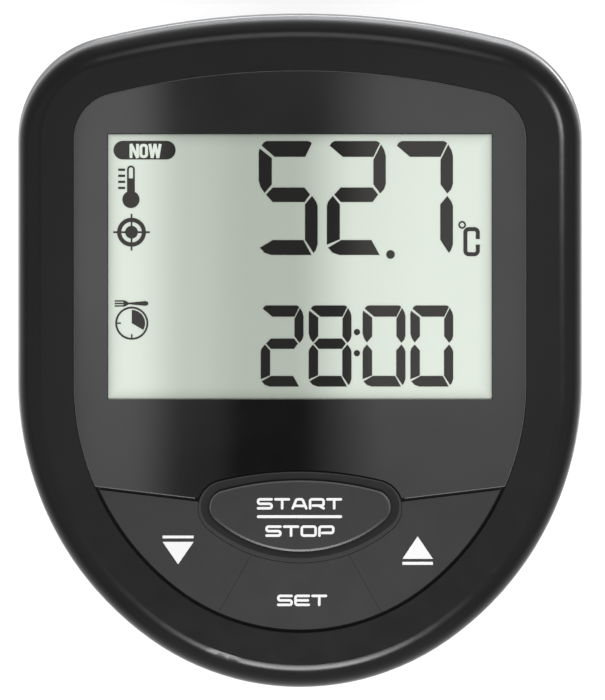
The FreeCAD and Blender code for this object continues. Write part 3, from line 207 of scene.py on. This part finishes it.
def moulded(
    name, colour, rough, grain=900, depth=0.02, strength=0.25, specular=0.5, mottle=0.12, spread=0.04
):
    """Moulded plastic: fine grain, slightly uneven gloss and colour."""
    shader = Shader(name)
    fine = shader.noise(grain, 4.0, 0.6)
    broad = shader.even(shader.noise(60.0), 0.0, 1.0)
    shader.tint = shader.mix(broad, shade(colour, 1 - mottle), shade(colour, 1 + mottle))
    gloss = shader.even(shader.noise(220.0), rough - spread, rough + spread)
    shader.set(Base_Color=shader.tint, Roughness=gloss)
    shader.uniform("Specular IOR Level", specular)
    shader.bump(fine, strength, depth)
    return shader


def metal(name, colour, rough, grain=(30, 30, 2200), strength=0.15):
    """Brushed or drawn metal, its lines running across the axis with the large scale."""
    shader = Shader(name)
    lines = shader.noise(1.0, 5.0, 0.7, shader.scaled(grain))
    blotch = shader.even(shader.noise(45.0), 0.0, 1.0)
    shader.tint = shader.mix(blotch, shade(colour, 0.92), colour)
    gloss = shader.even(lines, rough - 0.08, rough + 0.08)
    shader.set(Base_Color=shader.tint, Metallic=1.0, Roughness=gloss)
    shader.bump(lines, strength, 0.02)
    return shader


# ---------------------------------------------------------------------------------------------
# Materials
# ---------------------------------------------------------------------------------------------


def start_key_plastic():
    """The oval key's plastic, with a painted highlight on the upper half of its sloping rim."""
    shader = moulded(
        "start_grey", grey(0.0205), 0.28,
        grain=1500, depth=0.01, strength=0.1, specular=0.25, mottle=0.04, spread=0.01,
    )
    # Painted highlight: the upper half of the sloping rim is painted paler
    on_slope = shader.math("LESS_THAN", shader.face_axis("w"), 0.135 * MM)
    upper_half = shader.span(shader.face_axis("v"), -33 * MM, -31 * MM)
    painted_highlight = shader.product(on_slope, upper_half)
    shader.set(Base_Color=shader.mix(painted_highlight, shader.tint, grey(0.058)))
    return shader


def well_plastic():
    """The well round the oval key, with painted light and shade: darker on its slope than on its
    narrow flat rim.
    """
    shader = moulded(
        "well_grey", grey(0.016), 0.6,
        grain=1500, depth=0.01, strength=0.15, specular=0.06, mottle=0.05,
    )
    # Painted light and shade: the flat rim is painted lighter than the slope
    on_rim = shader.math("GREATER_THAN", shader.face_axis("w"), -0.41 * MM)
    shader.set(Base_Color=shader.mix(on_rim, shader.tint, grey(0.032)))
    return shader


def marked_sleeve():
    """The sleeve's steel, with two etched lines on its front for the water's level."""
    lowest, highest = 0.100, 0.145
    half_width, half_length = 0.0005, 0.011
    shader = metal("sleeve_steel", opaque(0.5, 0.5, 0.51), 0.24)
    across, ahead, height = shader.row_axes()
    lines = []
    for level in (lowest, highest):
        off = shader.math("ABSOLUTE", shader.math("SUBTRACT", height, level))
        lines.append(shader.math("LESS_THAN", off, half_width))
    middle = shader.math("LESS_THAN", shader.math("ABSOLUTE", across), half_length)
    front = shader.math("LESS_THAN", ahead, 0.0)
    etched = shader.product(shader.math("MAXIMUM", *lines), middle, front)
    shader.set(Base_Color=shader.mix(etched, shader.tint, grey(0.08)))
    return shader


def silver_paint():
    """Silver paint over plastic: fine flakes, an even satin gloss and a thin clear coat."""
    shader = Shader("silver")
    flake = shader.span(shader.noise(2600.0, 2.0, 0.6), 0.35, 0.65)
    shader.set(
        Base_Color=shader.mix(flake, opaque(0.455, 0.46, 0.47), opaque(0.495, 0.50, 0.51)),
        Metallic=0.85,
        Roughness=shader.even(shader.noise(90.0), 0.27, 0.34),
    )
    shader.uniform("Coat Weight", 0.25)
    shader.uniform("Coat Roughness", 0.15)
    # A trace of orange peel
    shader.bump(shader.noise(420.0, 2.0), 0.03, 0.01)
    return shader


def printed_lens():
    """A clear sheet printed glossy black on its front, but for the window.

    It is black from the front only, so light from behind it isn't held back. The lower part of
    its edge is paler, a painted highlight, but not beside the well.
    """
    edge_start, back, well_reach = -0.33, -1.0, 21
    shader = Shader("display_lens_black")
    outside = shader.math("LESS_THAN", shader.window_distance(), 0.0)
    depth = shader.face_axis("w")
    front_side = shader.math("SUBTRACT", 1.0, shader.add("NewGeometry").outputs["Backfacing"])
    upper = shader.math("GREATER_THAN", depth, back * MM)
    on_edge = shader.math("LESS_THAN", depth, edge_start * MM)
    from_middle = shader.math("ABSOLUTE", shader.face_axis("u"))
    reach = shader.math("MAXIMUM", from_middle, shader.face_axis("v"))
    # Painted highlight: the lower part of the lens's edge is painted pale grey
    pale = shader.product(on_edge, shader.math("GREATER_THAN", reach, well_reach * MM))
    black = shader.mix(shader.even(shader.noise(50.0), 0.0, 1.0), grey(0.003), grey(0.006))
    shader.set(
        Base_Color=shader.mix(pale, black, grey(0.15)),
        Roughness=shader.even(shader.noise(40.0), 0.045, 0.06),
        Alpha=shader.product(outside, shader.product(front_side, upper)),
    )
    shader.uniform("Specular IOR Level", 0.5)
    return shader


LCD_PALE = opaque(0.515, 0.562, 0.500)
# A duller colour, for the painted shade down the sheet's middle
LCD_PAINTED_SHADE = opaque(0.291, 0.323, 0.281)


def display_sheet():
    """A pale green-grey sheet, with painted shade: dull down the middle, and a little darker along
    its edges.
    """
    edge_reach, edge_share = 0.0034, 0.25
    shader = Shader("lcd_sheet")
    u = shader.face_axis("u")
    from_left = shader.math(
        "ADD",
        shader.span(u, -0.0345, -0.022, 0.0, 0.75),
        shader.span(u, -0.023, -0.010, 0.0, 0.25),
    )
    to_right = shader.math(
        "ADD",
        shader.span(u, -0.002, 0.012, 0.8, 0.0),
        shader.span(u, 0.006, 0.029, 0.2, 0.0),
    )
    # Painted shade: the sheet is painted duller down its middle
    base = shader.mix(shader.product(from_left, to_right), LCD_PALE, LCD_PAINTED_SHADE)
    # Painted shade: the sheet is painted darker near the window's edges
    near = shader.span(shader.window_distance(), 0.0, edge_reach, 1.0, 0.0, smooth=False)
    edge = shader.math("SUBTRACT", 1.0, shader.product(edge_share, shader.product(near, near)))
    shaded = shader.add("Mix", data_type="RGBA", blend_type="MULTIPLY")
    shaded.inputs["Factor"].default_value = 1.0
    shader.feed(shaded.inputs["A"], base)
    shader.feed(shaded.inputs["B"], edge)
    gloss = shader.even(shader.noise(400.0), 0.4, 0.5)
    shader.set(Base_Color=shaded.outputs["Result"], Roughness=gloss)
    shader.uniform("Specular IOR Level", 0.2)
    return shader


def figure_ink():
    """The figures' ink: dark, with a painted reflection: paler towards both sides, where the lens is
    paler.
    """
    shader = Shader("segment_ink")
    u = shader.face_axis("u")
    to_right = shader.span(u, 0.006, 0.016)
    to_left = shader.span(u, -0.031, -0.022, 1.0, 0.0)
    # Painted reflection: the ink is painted paler towards both sides
    paler = shader.math("MAXIMUM", to_right, to_left)
    shader.set(
        Base_Color=shader.mix(paler, opaque(0.0062, 0.0057, 0.0054), opaque(0.031, 0.030, 0.029)),
        Roughness=shader.even(shader.noise(600.0), 0.46, 0.54),
    )
    shader.uniform("Specular IOR Level", 0.1)
    shader.bump(shader.noise(900.0), 0.05, 0.005)
    return shader


bezel_black = moulded(
    "bezel_black", grey(0.006), 0.21,
    grain=1400, depth=0.01, strength=0.05, specular=0.2, mottle=0.06, spread=0.015,
)
key_grey = moulded(
    "key_grey", grey(0.0195), 0.5, grain=1500, strength=0.3, specular=0.18, mottle=0.05
)
start_grey = start_key_plastic()
well_grey = well_plastic()
neck_black = moulded("neck_black", grey(0.022), 0.5, depth=0.04, strength=0.5, specular=0.35)
pump_black = moulded(
    "pump_black", grey(0.028), 0.55, grain=700, depth=0.04, strength=0.5, specular=0.3
)
switch_black = moulded("switch_black", grey(0.012), 0.5)
white_plastic = moulded("white_plastic", opaque(0.72, 0.72, 0.69), 0.45)
relay_blue = moulded("relay_blue", opaque(0.02, 0.07, 0.3), 0.3)
capacitor_sleeve = moulded("capacitor_sleeve", opaque(0.02, 0.03, 0.08), 0.3)
cable_grey = moulded("cable_grey", grey(0.4), 0.5)
seal_rubber = moulded(
    "seal_rubber", grey(0.015), 0.75, grain=1200, depth=0.05, strength=0.6, specular=0.25
)
facing_rubber = moulded(
    "facing_rubber", grey(0.03), 0.85, grain=700, depth=0.1, strength=0.7, specular=0.2
)
board_green = moulded("board_green", opaque(0.01, 0.10, 0.04), 0.3)
mask_black = moulded(
    "mask_black", grey(0.008), 0.3, grain=300, depth=0.005, strength=0.05, specular=0.2
)

steel = metal("steel", opaque(0.52, 0.52, 0.53), 0.27)
sleeve_steel = marked_sleeve()
heater_steel = metal("heater_steel", opaque(0.46, 0.45, 0.44), 0.36, (200, 200, 200))
motor_steel = metal("motor_steel", grey(0.5), 0.4, (120, 120, 120))
core_steel = metal("core_steel", grey(0.2), 0.5, (60, 60, 2000))
aluminium = metal("aluminium", opaque(0.66, 0.67, 0.68), 0.38)
brass = metal("brass", opaque(0.65, 0.48, 0.22), 0.3, (200, 200, 200))
copper_winding = metal("copper_winding", opaque(0.6, 0.26, 0.1), 0.4, (20, 20, 2500), 0.5)

silver = silver_paint()
lens = printed_lens()
lcd = display_sheet()
segment_ink = figure_ink()
print_white = moulded(
    "print_white", grey(0.62), 0.5,
    grain=1500, depth=0.01, strength=0.1, specular=0.3, mottle=0.03,
)
lcd_light = moulded(
    "lcd_light", LCD_PALE, 0.5,
    grain=600, depth=0.005, strength=0.05, specular=0.2, mottle=0.03,
)

FINISHES = {
    "front_bezel": bezel_black,
    "display_lens": lens,
    "lens_mask": mask_black,
    "lcd_glass": lcd,
    "backlight_panel": white_plastic,
    "display_holder": white_plastic,
    "down_key": key_grey,
    "up_key": key_grey,
    "set_key": key_grey,
    "start_stop_key": start_grey,
    "key_well": well_grey,
    "display_board": board_green,
    "tact_switches": switch_black,
    "buzzer": switch_black,
    "trim_ring": silver,
    "face_gasket": seal_rubber,
    "head_shell": silver,
    "head_screws": steel,
    "mains_inlet": neck_black,
    "inlet_pins": brass,
    "power_board": board_green,
    "transformer_core": core_steel,
    "transformer_winding": copper_winding,
    "power_relay": relay_blue,
    "heat_sink": aluminium,
    "triac": switch_black,
    "capacitors": capacitor_sleeve,
    "ribbon_cable": cable_grey,
    "neck": neck_black,
    "sleeve": sleeve_steel,
    "sleeve_collar": neck_black,
    "sleeve_seal": seal_rubber,
    "column_flange": heater_steel,
    "heater_coil": heater_steel,
    "heater_terminals": brass,
    "temperature_probe": heater_steel,
    "level_rods": heater_steel,
    "tie_rods": heater_steel,
    "shaft_tube": heater_steel,
    "shaft_bushes": brass,
    "shaft_seal": seal_rubber,
    "foot_base": pump_black,
    "pump_housing": pump_black,
    "pump_cover": pump_black,
    "impeller": white_plastic,
    "pump_shaft": heater_steel,
    "shaft_coupling": aluminium,
    "motor_mount": aluminium,
    "motor_can": motor_steel,
    "motor_end_cap": switch_black,
    "motor_rotor": motor_steel,
    "cooling_fan": switch_black,
    "clamp_bracket": neck_black,
    "clamp_facing": facing_rubber,
    "bracket_screws": steel,
    "pad_facing": facing_rubber,
    "clamp_pad": neck_black,
    "clamp_screw": steel,
    "clamp_knob": neck_black,
}
for node, shader in FINISHES.items():
    for holder in nodes[node].material_slots:
        holder.material = shader.material


# ---------------------------------------------------------------------------------------------
# Meshes
# ---------------------------------------------------------------------------------------------


def add_mesh(name, points, faces, material):
    mesh = bpy.data.meshes.new(name)
    mesh.from_pydata([tuple(point) for point in points], [], faces)
    mesh.update()
    mesh.materials.append(material)
    piece = bpy.data.objects.new(name, mesh)
    bpy.context.collection.objects.link(piece)
    return piece


def turn(degrees):
    """The cosine and sine of an angle."""
    return math.cos(math.radians(degrees)), math.sin(math.radians(degrees))


def clamp_thread():
    """The clamp's screw: a bar with a thread cut into it, plain at both ends."""
    axis_height = 0.213
    sides, rows = 40, 220
    pitch, depth, fade_length = 0.002, 0.0006, 0.0015
    groove_half, steepness = 0.36, 1.15
    low_corner, high_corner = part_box("clamp_screw")
    start, end = low_corner[1], high_corner[1]
    bar_radius = (high_corner[0] - low_corner[0]) / 2
    points, faces = [], []
    for row in range(rows + 1):
        along = start + (end - start) * row / rows
        fade = max(0.0, min(1.0, min(along - start, end - along) / fade_length))
        for i in range(sides):
            phase = (along / pitch - i / sides) % 1.0
            groove = max(0.0, 1.0 - abs(phase - 0.5) / groove_half)
            radius = bar_radius - depth * fade * min(1.0, groove * steepness)
            angle = 2 * math.pi * i / sides
            points.append((radius * math.cos(angle), along, axis_height + radius * math.sin(angle)))
    for row in range(rows):
        for i in range(sides):
            j = (i + 1) % sides
            a, b = row * sides, (row + 1) * sides
            faces.append((a + i, b + i, b + j, a + j))
    faces.append(tuple(range(sides)))
    faces.append(tuple(rows * sides + i for i in reversed(range(sides))))
    return add_mesh("clamp_thread", points, faces, steel.material)


thread = clamp_thread()
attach(thread, "screw")
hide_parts("clamp_screw")


# ---------------------------------------------------------------------------------------------
# Flat printed shapes on the face
# ---------------------------------------------------------------------------------------------

# The tops of a plate's shapes lie on a few levels a hair apart
SHAPE_STEP, SHAPE_LEVELS = 0.002, 8
# Degrees round a pen line's end at which its round cap has points
CAP_TURNS = (20, 40, 60, 75, 86)


class Plate:
    """Thin flat shapes that lie on the face, gathered into one object."""

    def __init__(self, name, level, shader, body, slot, thick=0.04):
        self.name, self.level, self.shader = name, level, shader
        self.body, self.slot, self.thick = body, slot, thick
        self.points, self.faces, self.shapes = [], [], 0

    def add_lines(self, *lines):
        """The lines' points, first at the top and then at the bottom, and the first one's index.

        Each shape's top steps from the last one's, so no two lie in one plane where they cross.
        """
        first = len(self.points)
        top = self.level + SHAPE_STEP * (self.shapes % SHAPE_LEVELS)
        self.shapes += 1
        for w in (top, self.level - self.thick):
            for line in lines:
                self.points += [FACE @ Vector((x, y, w)) for x, y in line]
        return first

    def polygon(self, outline):
        """A closed outline, anticlockwise, with a top, a bottom and sides."""
        first = self.add_lines(outline)
        count = len(outline)
        top = list(range(first, first + count))
        bottom = [i + count for i in top]
        self.faces.append(top)
        self.faces.append(bottom[::-1])
        for i in range(count):
            j = (i + 1) % count
            self.faces.append([top[i], bottom[i], bottom[j], top[j]])

    def strip(self, left, right, closed=False):
        """A band between two lines with the same count of points, with a top, bottom and sides."""
        count = len(left)
        first = self.add_lines(left, right)
        left_top, right_top, left_low, right_low = (first + count * i for i in range(4))
        for i in range(count if closed else count - 1):
            j = (i + 1) % count
            self.faces += [
                [right_top + i, right_top + j, left_top + j, left_top + i],
                [left_low + i, left_low + j, right_low + j, right_low + i],
                [left_top + i, left_top + j, left_low + j, left_low + i],
                [right_top + j, right_top + i, right_low + i, right_low + j],
            ]
        if not closed:
            end = count - 1
            self.faces += [
                [left_top, left_low, right_low, right_top],
                [right_top + end, right_low + end, left_low + end, left_top + end],
            ]

    def box(self, x0, x1, y0, y1):
        self.polygon([(x0, y0), (x1, y0), (x1, y1), (x0, y1)])

    def disc(self, x, y, radius, start=0.0, end=360.0, steps=48):
        """A disc, or a slice of one from start to end degrees, anticlockwise."""
        whole = end - start >= 360
        count = steps if whole else steps + 1
        turns = [turn(start + (end - start) * i / steps) for i in range(count)]
        rim = [(x + radius * c, y + radius * s) for c, s in turns]
        self.polygon(rim if whole else [(x, y)] + rim)

    def hoop(self, x, y, outer, inner, steps=64):
        turns = [turn(360 * i / steps) for i in range(steps)]
        self.strip(
            [(x + inner * c, y + inner * s) for c, s in turns],
            [(x + outer * c, y + outer * s) for c, s in turns],
            closed=True,
        )

    def stroke(self, line, width, closed=False, caps=False):
        """A pen line through points, with mitred corners and square ends, or round ones as caps."""
        half = width / 2
        count = len(line)
        left, right = [], []
        for i in range(count):
            before = line[i - 1] if i > 0 or closed else None
            after = line[(i + 1) % count] if i < count - 1 or closed else None
            here = Vector(line[i])
            entering = (here - Vector(before)).normalized() if before else None
            leaving = (Vector(after) - here).normalized() if after else None
            entering = entering or leaving
            leaving = leaving or entering
            along = (entering + leaving).normalized()
            normal = Vector((-along.y, along.x))
            reach = half / max(0.5, along.dot(leaving))
            left.append(tuple(here + normal * reach))
            right.append(tuple(here - normal * reach))
        if caps:
            start_left, start_right = self.round_end(line[0], line[1], half)
            end_left, end_right = self.round_end(line[-1], line[-2], half)
            # Seen outwards from the line, its start's right side is the line's left
            left = start_right[::-1] + left + end_left
            right = start_left[::-1] + right + end_right
        self.strip(left, right, closed)

    @staticmethod
    def round_end(tip, inner, half):
        """The two sides of a round cap, left and right as seen from the line, out to its tip."""
        out = (Vector(tip) - Vector(inner)).normalized()
        normal = Vector((-out.y, out.x))
        left, right = [], []
        for side, points in ((1, left), (-1, right)):
            for degrees in CAP_TURNS:
                c, s = turn(degrees)
                points.append(tuple(Vector(tip) + half * (out * s + side * normal * c)))
        return left, right

    def finish(self):
        piece = add_mesh(self.name, self.points, self.faces, self.shader.material)
        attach(piece, self.body)


def rounded(line, radius, closed=False, steps=8):
    """The line with its corners turned into arcs."""
    count = len(line)
    result = []
    for i in range(count):
        here = Vector(line[i])
        if not closed and i in (0, count - 1):
            result.append(tuple(here))
            continue
        back = Vector(line[i - 1]) - here
        ahead = Vector(line[(i + 1) % count]) - here
        half_angle = back.angle(ahead) / 2
        reach = min(radius / math.tan(half_angle), back.length * 0.49, ahead.length * 0.49)
        bisector = (back.normalized() + ahead.normalized()).normalized()
        centre = here + bisector * (reach / math.cos(half_angle))
        start = here + back.normalized() * reach - centre
        end = here + ahead.normalized() * reach - centre
        sweep = start.angle_signed(end)
        for step in range(steps + 1):
            arm = start.copy()
            arm.rotate(Matrix.Rotation(-sweep * step / steps, 2))
            result.append(tuple(centre + arm))
    return result


# Seven-segment figures, each bar drawn in a cell one unit wide and one unit high
SEGMENTS = {
    "a": [
        (0.05, 0.96), (0.08, 0.985), (0.13, 1.0), (0.84, 1.0),
        (0.875, 0.993), (0.90, 0.98), (0.79, 0.862), (0.27, 0.862),
    ],
    "b": [
        (0.92, 0.97), (0.975, 0.92), (1.0, 0.87), (1.0, 0.625),
        (0.97, 0.577), (0.905, 0.54), (0.79, 0.62), (0.79, 0.835),
    ],
    "c": [
        (0.905, 0.518), (0.975, 0.468), (1.0, 0.43), (1.0, 0.094),
        (0.965, 0.04), (0.93, 0.018), (0.785, 0.134), (0.785, 0.444),
    ],
    "d": [(0.02, 0.064), (0.10, 0.02), (0.21, 0.0), (0.895, 0.0), (0.757, 0.131), (0.24, 0.131)],
    "e": [(0.10, 0.518), (0.02, 0.468), (0.0, 0.43), (0.0, 0.09), (0.22, 0.138), (0.22, 0.444)],
    "f": [
        (0.015, 0.935), (0.0, 0.90), (0.0, 0.655), (0.03, 0.598),
        (0.10, 0.544), (0.222, 0.62), (0.222, 0.85),
    ],
    "g": [
        (0.125, 0.53), (0.236, 0.592), (0.776, 0.592),
        (0.87, 0.53), (0.776, 0.465), (0.236, 0.465),
    ],
}
FIGURES = {"0": "abcdef", "2": "abged", "5": "afgcd", "7": "abc", "8": "abcdefg"}


def ordered(outline):
    """The outline, turned anticlockwise."""
    following = outline[1:] + outline[:1]
    area = sum(x0 * y1 - x1 * y0 for (x0, y0), (x1, y1) in zip(outline, following))
    return outline if area > 0 else outline[::-1]


def figure(plate, digit, x, y, width, height):
    for bar in FIGURES[digit]:
        plate.polygon(ordered([(x + px * width, y + py * height) for px, py in SEGMENTS[bar]]))


# Letters as pen lines in a cell one unit wide and one unit high
LETTERS = {
    "A": [[(0, 0), (0.28, 1), (0.72, 1), (1, 0)], [(0.1, 0.27), (0.9, 0.27)]],
    "E": [[(1, 1), (0, 1), (0, 0), (1, 0)], [(0, 0.5), (0.93, 0.5)]],
    "O": [[(0, 0), (0, 1), (1, 1), (1, 0), (0, 0)]],
    "P": [[(0, 0), (0, 1), (1, 1), (1, 0.3), (0.2, 0.3)]],
    "R": [[(0, 0), (0, 1), (1, 1), (1, 0.3), (0.2, 0.3)], [(0.65, 0.3), (1, 0)]],
    "S": [[(1, 1), (0, 1), (0, 0.5), (1, 0.5), (1, 0), (0, 0)]],
    "T": [[(0, 1), (1, 1)], [(0.5, 1), (0.5, 0)]],
}
# The gap is a share of a letter's width
LETTER_PEN, LETTER_GAP, LETTER_RADIUS = 0.51, 0.08, 0.4


def word(plate, text, left, right, low, high):
    """A word that fills the box."""
    count = len(text)
    cell = (right - left) / (count + LETTER_GAP * (count - 1))
    base, height = low + LETTER_PEN / 2, high - low - LETTER_PEN
    width = cell - LETTER_PEN
    for i, letter in enumerate(text):
        x0 = left + i * cell * (1 + LETTER_GAP) + LETTER_PEN / 2
        for line in LETTERS[letter]:
            points = [(x0 + px * width, base + py * height) for px, py in line]
            closed = points[0] == points[-1]
            pen_line = rounded(points[:-1] if closed else points, LETTER_RADIUS, closed)
            plate.stroke(pen_line, LETTER_PEN, closed, caps=not closed)


def temperature(plate):
    """The upper line of the display: the water's temperature."""
    for digit, x in (("5", -8.3), ("2", 5.4), ("7", 18.9)):
        figure(plate, digit, x, 19.5, 11.85, 22.9)
    plate.disc(18.2, 19.6, 0.87)


def time_left(plate):
    """The lower line of the display."""
    for digit, x in (("2", -7.9), ("8", 1.75), ("0", 12.6), ("0", 22.2)):
        figure(plate, digit, x, -6.95, 8.6, 16.3)
    for y in (4.0, -0.25):
        plate.disc(11.45, y, 0.62)


def degrees_celsius(plate):
    left, right, low, high = 33.25, 35.75, 19.65, 24.7
    plate.hoop(32.6, 25.55, 0.78, 0.44)
    letter = [(right, 22.7), (right, high), (left, high), (left, low), (right, low), (right, 21.6)]
    plate.stroke(rounded(letter, 0.7), 0.8)


def label_pill(plate):
    """The dark rounded bar that the label's letters lie on."""
    y, radius = 40.58, 1.87
    outline = []
    for x, angles in ((-35.62, range(90, 271, 10)), (-26.87, range(-90, 91, 10))):
        outline += [(x + radius * c, y + radius * s) for c, s in map(turn, angles)]
    plate.polygon(outline)


def thermometer(plate):
    x = -33.99
    low, high = 34.9, 37.3
    tube = [(x - 0.6, low), (x - 0.6, high), (x + 0.6, high), (x + 0.6, low)]
    plate.stroke(rounded(tube, 0.58), 0.36)
    plate.box(x - 0.78, x + 0.78, 31.6, low)
    plate.disc(x, 30.65, 1.72)
    for i in range(4):
        plate.box(-36.55, -35.17, 36.42 - 1.22 * i, 36.86 - 1.22 * i)


def target(plate):
    x, y = -33.87, 24.08
    near, far, half = 1.2, 3.68, 0.17
    plate.hoop(x, y, 2.9, 2.06)
    plate.disc(x, y, 1.28)
    for dx, dy in ((1, 0), (-1, 0), (0, 1), (0, -1)):
        x0, x1 = sorted((x + dx * near - abs(dy) * half, x + dx * far + abs(dy) * half))
        y0, y1 = sorted((y + dy * near - abs(dx) * half, y + dy * far + abs(dx) * half))
        plate.box(x0, x1, y0, y1)


def fork(plate):
    x, y = -33.8, 9.75
    half_prong = 0.13
    for i in (-1, 0, 1):
        plate.box(x - 3.45, x - 1.7, y + i * 0.5 - half_prong, y + i * 0.5 + half_prong)
    side = [(-1.7, 0.63), (-1.3, 0.57), (-0.6, 0.16), (2.7, 0.48), (3.2, 0.32), (3.33, 0.0)]
    upper = [(x + px, y + py) for px, py in side]
    lower = [(x + px, y - py) for px, py in side[:-1]]
    plate.polygon(lower + upper[::-1])


def clock(plate):
    x, y = -33.82, 5.78
    near, far, half = 2.2, 3.0, 0.14
    plate.hoop(x, y, 3.32, 2.95)
    plate.disc(x, y, 2.66, -30.0, 90.0)
    plate.box(x - far, x - near, y - half, y + half)
    plate.box(x - half, x + half, y - far, y - near)


def label_letters(plate):
    """The label's three bold letters, from separate strokes."""
    low, high, pen = 39.0, 41.83, 0.58
    bowl_left, bowl_right, bowl_inset = -32.0, -30.85, 0.28
    for line in (
        [(-33.98, low), (-33.98, high)],
        [(-33.98, high), (-32.66, low)],
        [(-32.66, low), (-32.66, high)],
        [(-30.2, high), (-29.72, low)],
        [(-29.72, low), (-29.15, high)],
        [(-29.15, high), (-28.58, low)],
        [(-28.58, low), (-28.1, high)],
    ):
        plate.stroke(line, pen)
    bowl_low, bowl_high = low + bowl_inset, high - bowl_inset
    bowl = [
        (bowl_left, bowl_low), (bowl_left, bowl_high), (bowl_right, bowl_high), (bowl_right, bowl_low)
    ]
    plate.stroke(rounded(bowl, 0.45, True), pen, closed=True)


ink = Plate("lcd_figures", LCD_TOP + INK_RISE, segment_ink, "body", "mask_black", 0.08)
for draw in (
    temperature, time_left, degrees_celsius, label_pill, thermometer, target, fork, clock
):
    draw(ink)
ink.finish()

label = Plate("lcd_label", LCD_TOP + LABEL_RISE, lcd_light, "body", "lcd", 0.05)
label_letters(label)
label.finish()


def key_print(name, level, body):
    return Plate(name, level + PRINT_RISE, print_white, body, "white_plastic")


start_print = key_print("start_stop_print", OVAL_TOP, "start_button")
word(start_print, "START", -8.64, 8.44, -31.5, -29.2)
start_print.stroke([(-8.34, -32.92), (8.13, -32.92)], 0.58, caps=True)
word(start_print, "STOP", -6.94, 6.9, -36.96, -34.66)
start_print.finish()

set_print = key_print("set_print", KEY_TOP, "set_button")
word(set_print, "SET", -4.6, 5.44, -50.86, -48.56)
set_print.finish()

down_print = key_print("down_print", KEY_TOP, "down_button")
down_print.box(-27.5, -21.3, -37.3, -36.75)
down_print.polygon([(-24.4, -42.5), (-21.3, -38.0), (-27.5, -38.0)])
down_print.finish()

up_print = key_print("up_print", KEY_TOP, "up_button")
up_print.polygon([(20.5, -41.4), (26.6, -41.4), (23.55, -36.9)])
up_print.box(20.5, 26.6, -42.6, -42.0)
up_print.finish()


# ---------------------------------------------------------------------------------------------
# Floor, lights and camera
# ---------------------------------------------------------------------------------------------

FLOOR_REACH = 6.0
paper = moulded(
    "floor_paper", grey(0.94), 0.9, grain=80, depth=0.1, strength=0.02, specular=0.0, mottle=0.002
)
paper.set(Emission_Color=grey(1.0))
paper.uniform("Emission Strength", 0.16)
floor_corners = [(-1, -1), (1, -1), (1, 1), (-1, 1)]
floor = add_mesh(
    "floor",
    [(x * FLOOR_REACH, y * FLOOR_REACH, 0) for x, y in floor_corners],
    [(0, 1, 2, 3)],
    paper.material,
)


def face_to_world(u, v, w):
    return FACE @ Vector((u, v, w))


def card(name, distance, left, right, low, high, strength):
    """A glowing card square to the face: bright at its two sides, dark between, dim at its foot."""
    shader = Shader(name)
    across = shader.face_axis("u")
    up = shader.face_axis("v")
    falling = 0.0
    for start, end, share in ((-98, -75, 0.78), (-75, -50, 0.02), (-50, -36, 0.2)):
        step = shader.span(across, start * MM, end * MM, share, 0.0, smooth=False)
        falling = shader.math("ADD", falling, step)
    rising = shader.span(across, 0.0, 48 * MM, 0.0, 1.0, smooth=False)
    bright = shader.math("MAXIMUM", shader.product(falling, 1.12), shader.product(rising, 0.93))
    sides = shader.product(bright, shader.span(up, -0.095, 0.03, 0.8, 1.0))
    level = shader.math("MAXIMUM", sides, shader.span(up, -0.05, 0.14, 0.03, 0.22))
    glow = shader.add("Emission")
    shader.feed(glow.inputs["Strength"], shader.product(level, strength))
    shader.links.new(glow.outputs["Emission"], shader.output.inputs["Surface"])
    corners = [(left, low), (right, low), (right, high), (left, high)]
    points = [face_to_world(x, y, distance) for x, y in corners]
    thing = add_mesh(name, points, [(3, 2, 1, 0)], shader.material)
    thing.visible_camera = False


def lamp(name, spot, aim, width, height, power):
    """A soft rectangular lamp at spot, turned to aim."""
    data = bpy.data.lights.new(name, "AREA")
    data.shape = "RECTANGLE"
    data.size, data.size_y, data.energy = width, height, power
    thing = bpy.data.objects.new(name, data)
    bpy.context.collection.objects.link(thing)
    thing.location = spot
    thing.rotation_euler = (Vector(aim) - Vector(spot)).to_track_quat("-Z", "Y").to_euler()
    thing.visible_camera = False


world = bpy.data.worlds.new("studio")
world.use_nodes = True
backdrop = world.node_tree.nodes["Background"]
backdrop.inputs["Color"].default_value = grey(1.0)
backdrop.inputs["Strength"].default_value = 0.5
bpy.context.scene.world = world

COLUMN_MIDDLE = (0, 0, 0.2)
card("overhead_card", 1000, -138, 138, -95, 171, 1.9)
lamp("key_left", (-1.3, -0.5, 1.6), FACE_CENTRE, 1.8, 1.8, 2.2)
lamp("key_right", (1.3, -0.4, 1.6), FACE_CENTRE, 1.8, 1.8, 2.2)
lamp("low_front", face_to_world(0, -465, 900), FACE_CENTRE, 0.33, 0.19, 6.3)
lamp("back_top", face_to_world(0, 800, 900), FACE_CENTRE, 0.5, 0.42, 2.1)
lamp("back_right", face_to_world(440, 215, 900), FACE_CENTRE, 0.14, 0.14, 2.5)
lamp("front_fill", (0, -1.8, 0.5), COLUMN_MIDDLE, 2.4, 1.6, 4)
lamp("rear_fill", (0.4, 1.9, 0.8), COLUMN_MIDDLE, 2.4, 1.6, 3)

camera_data = bpy.data.cameras.new("camera")
camera_data.sensor_width = 36
camera_data.lens = 128.57
camera_data.clip_start = 0.01
camera = bpy.data.objects.new("camera", camera_data)
bpy.context.collection.objects.link(camera)
camera.matrix_world = (
    Matrix.Translation(face_to_world(0.5, 0.4, 500)) @ Matrix.Rotation(TILT, 4, "X")
)
bpy.context.scene.camera = camera
bpy.context.scene.view_settings.view_transform = "Standard"
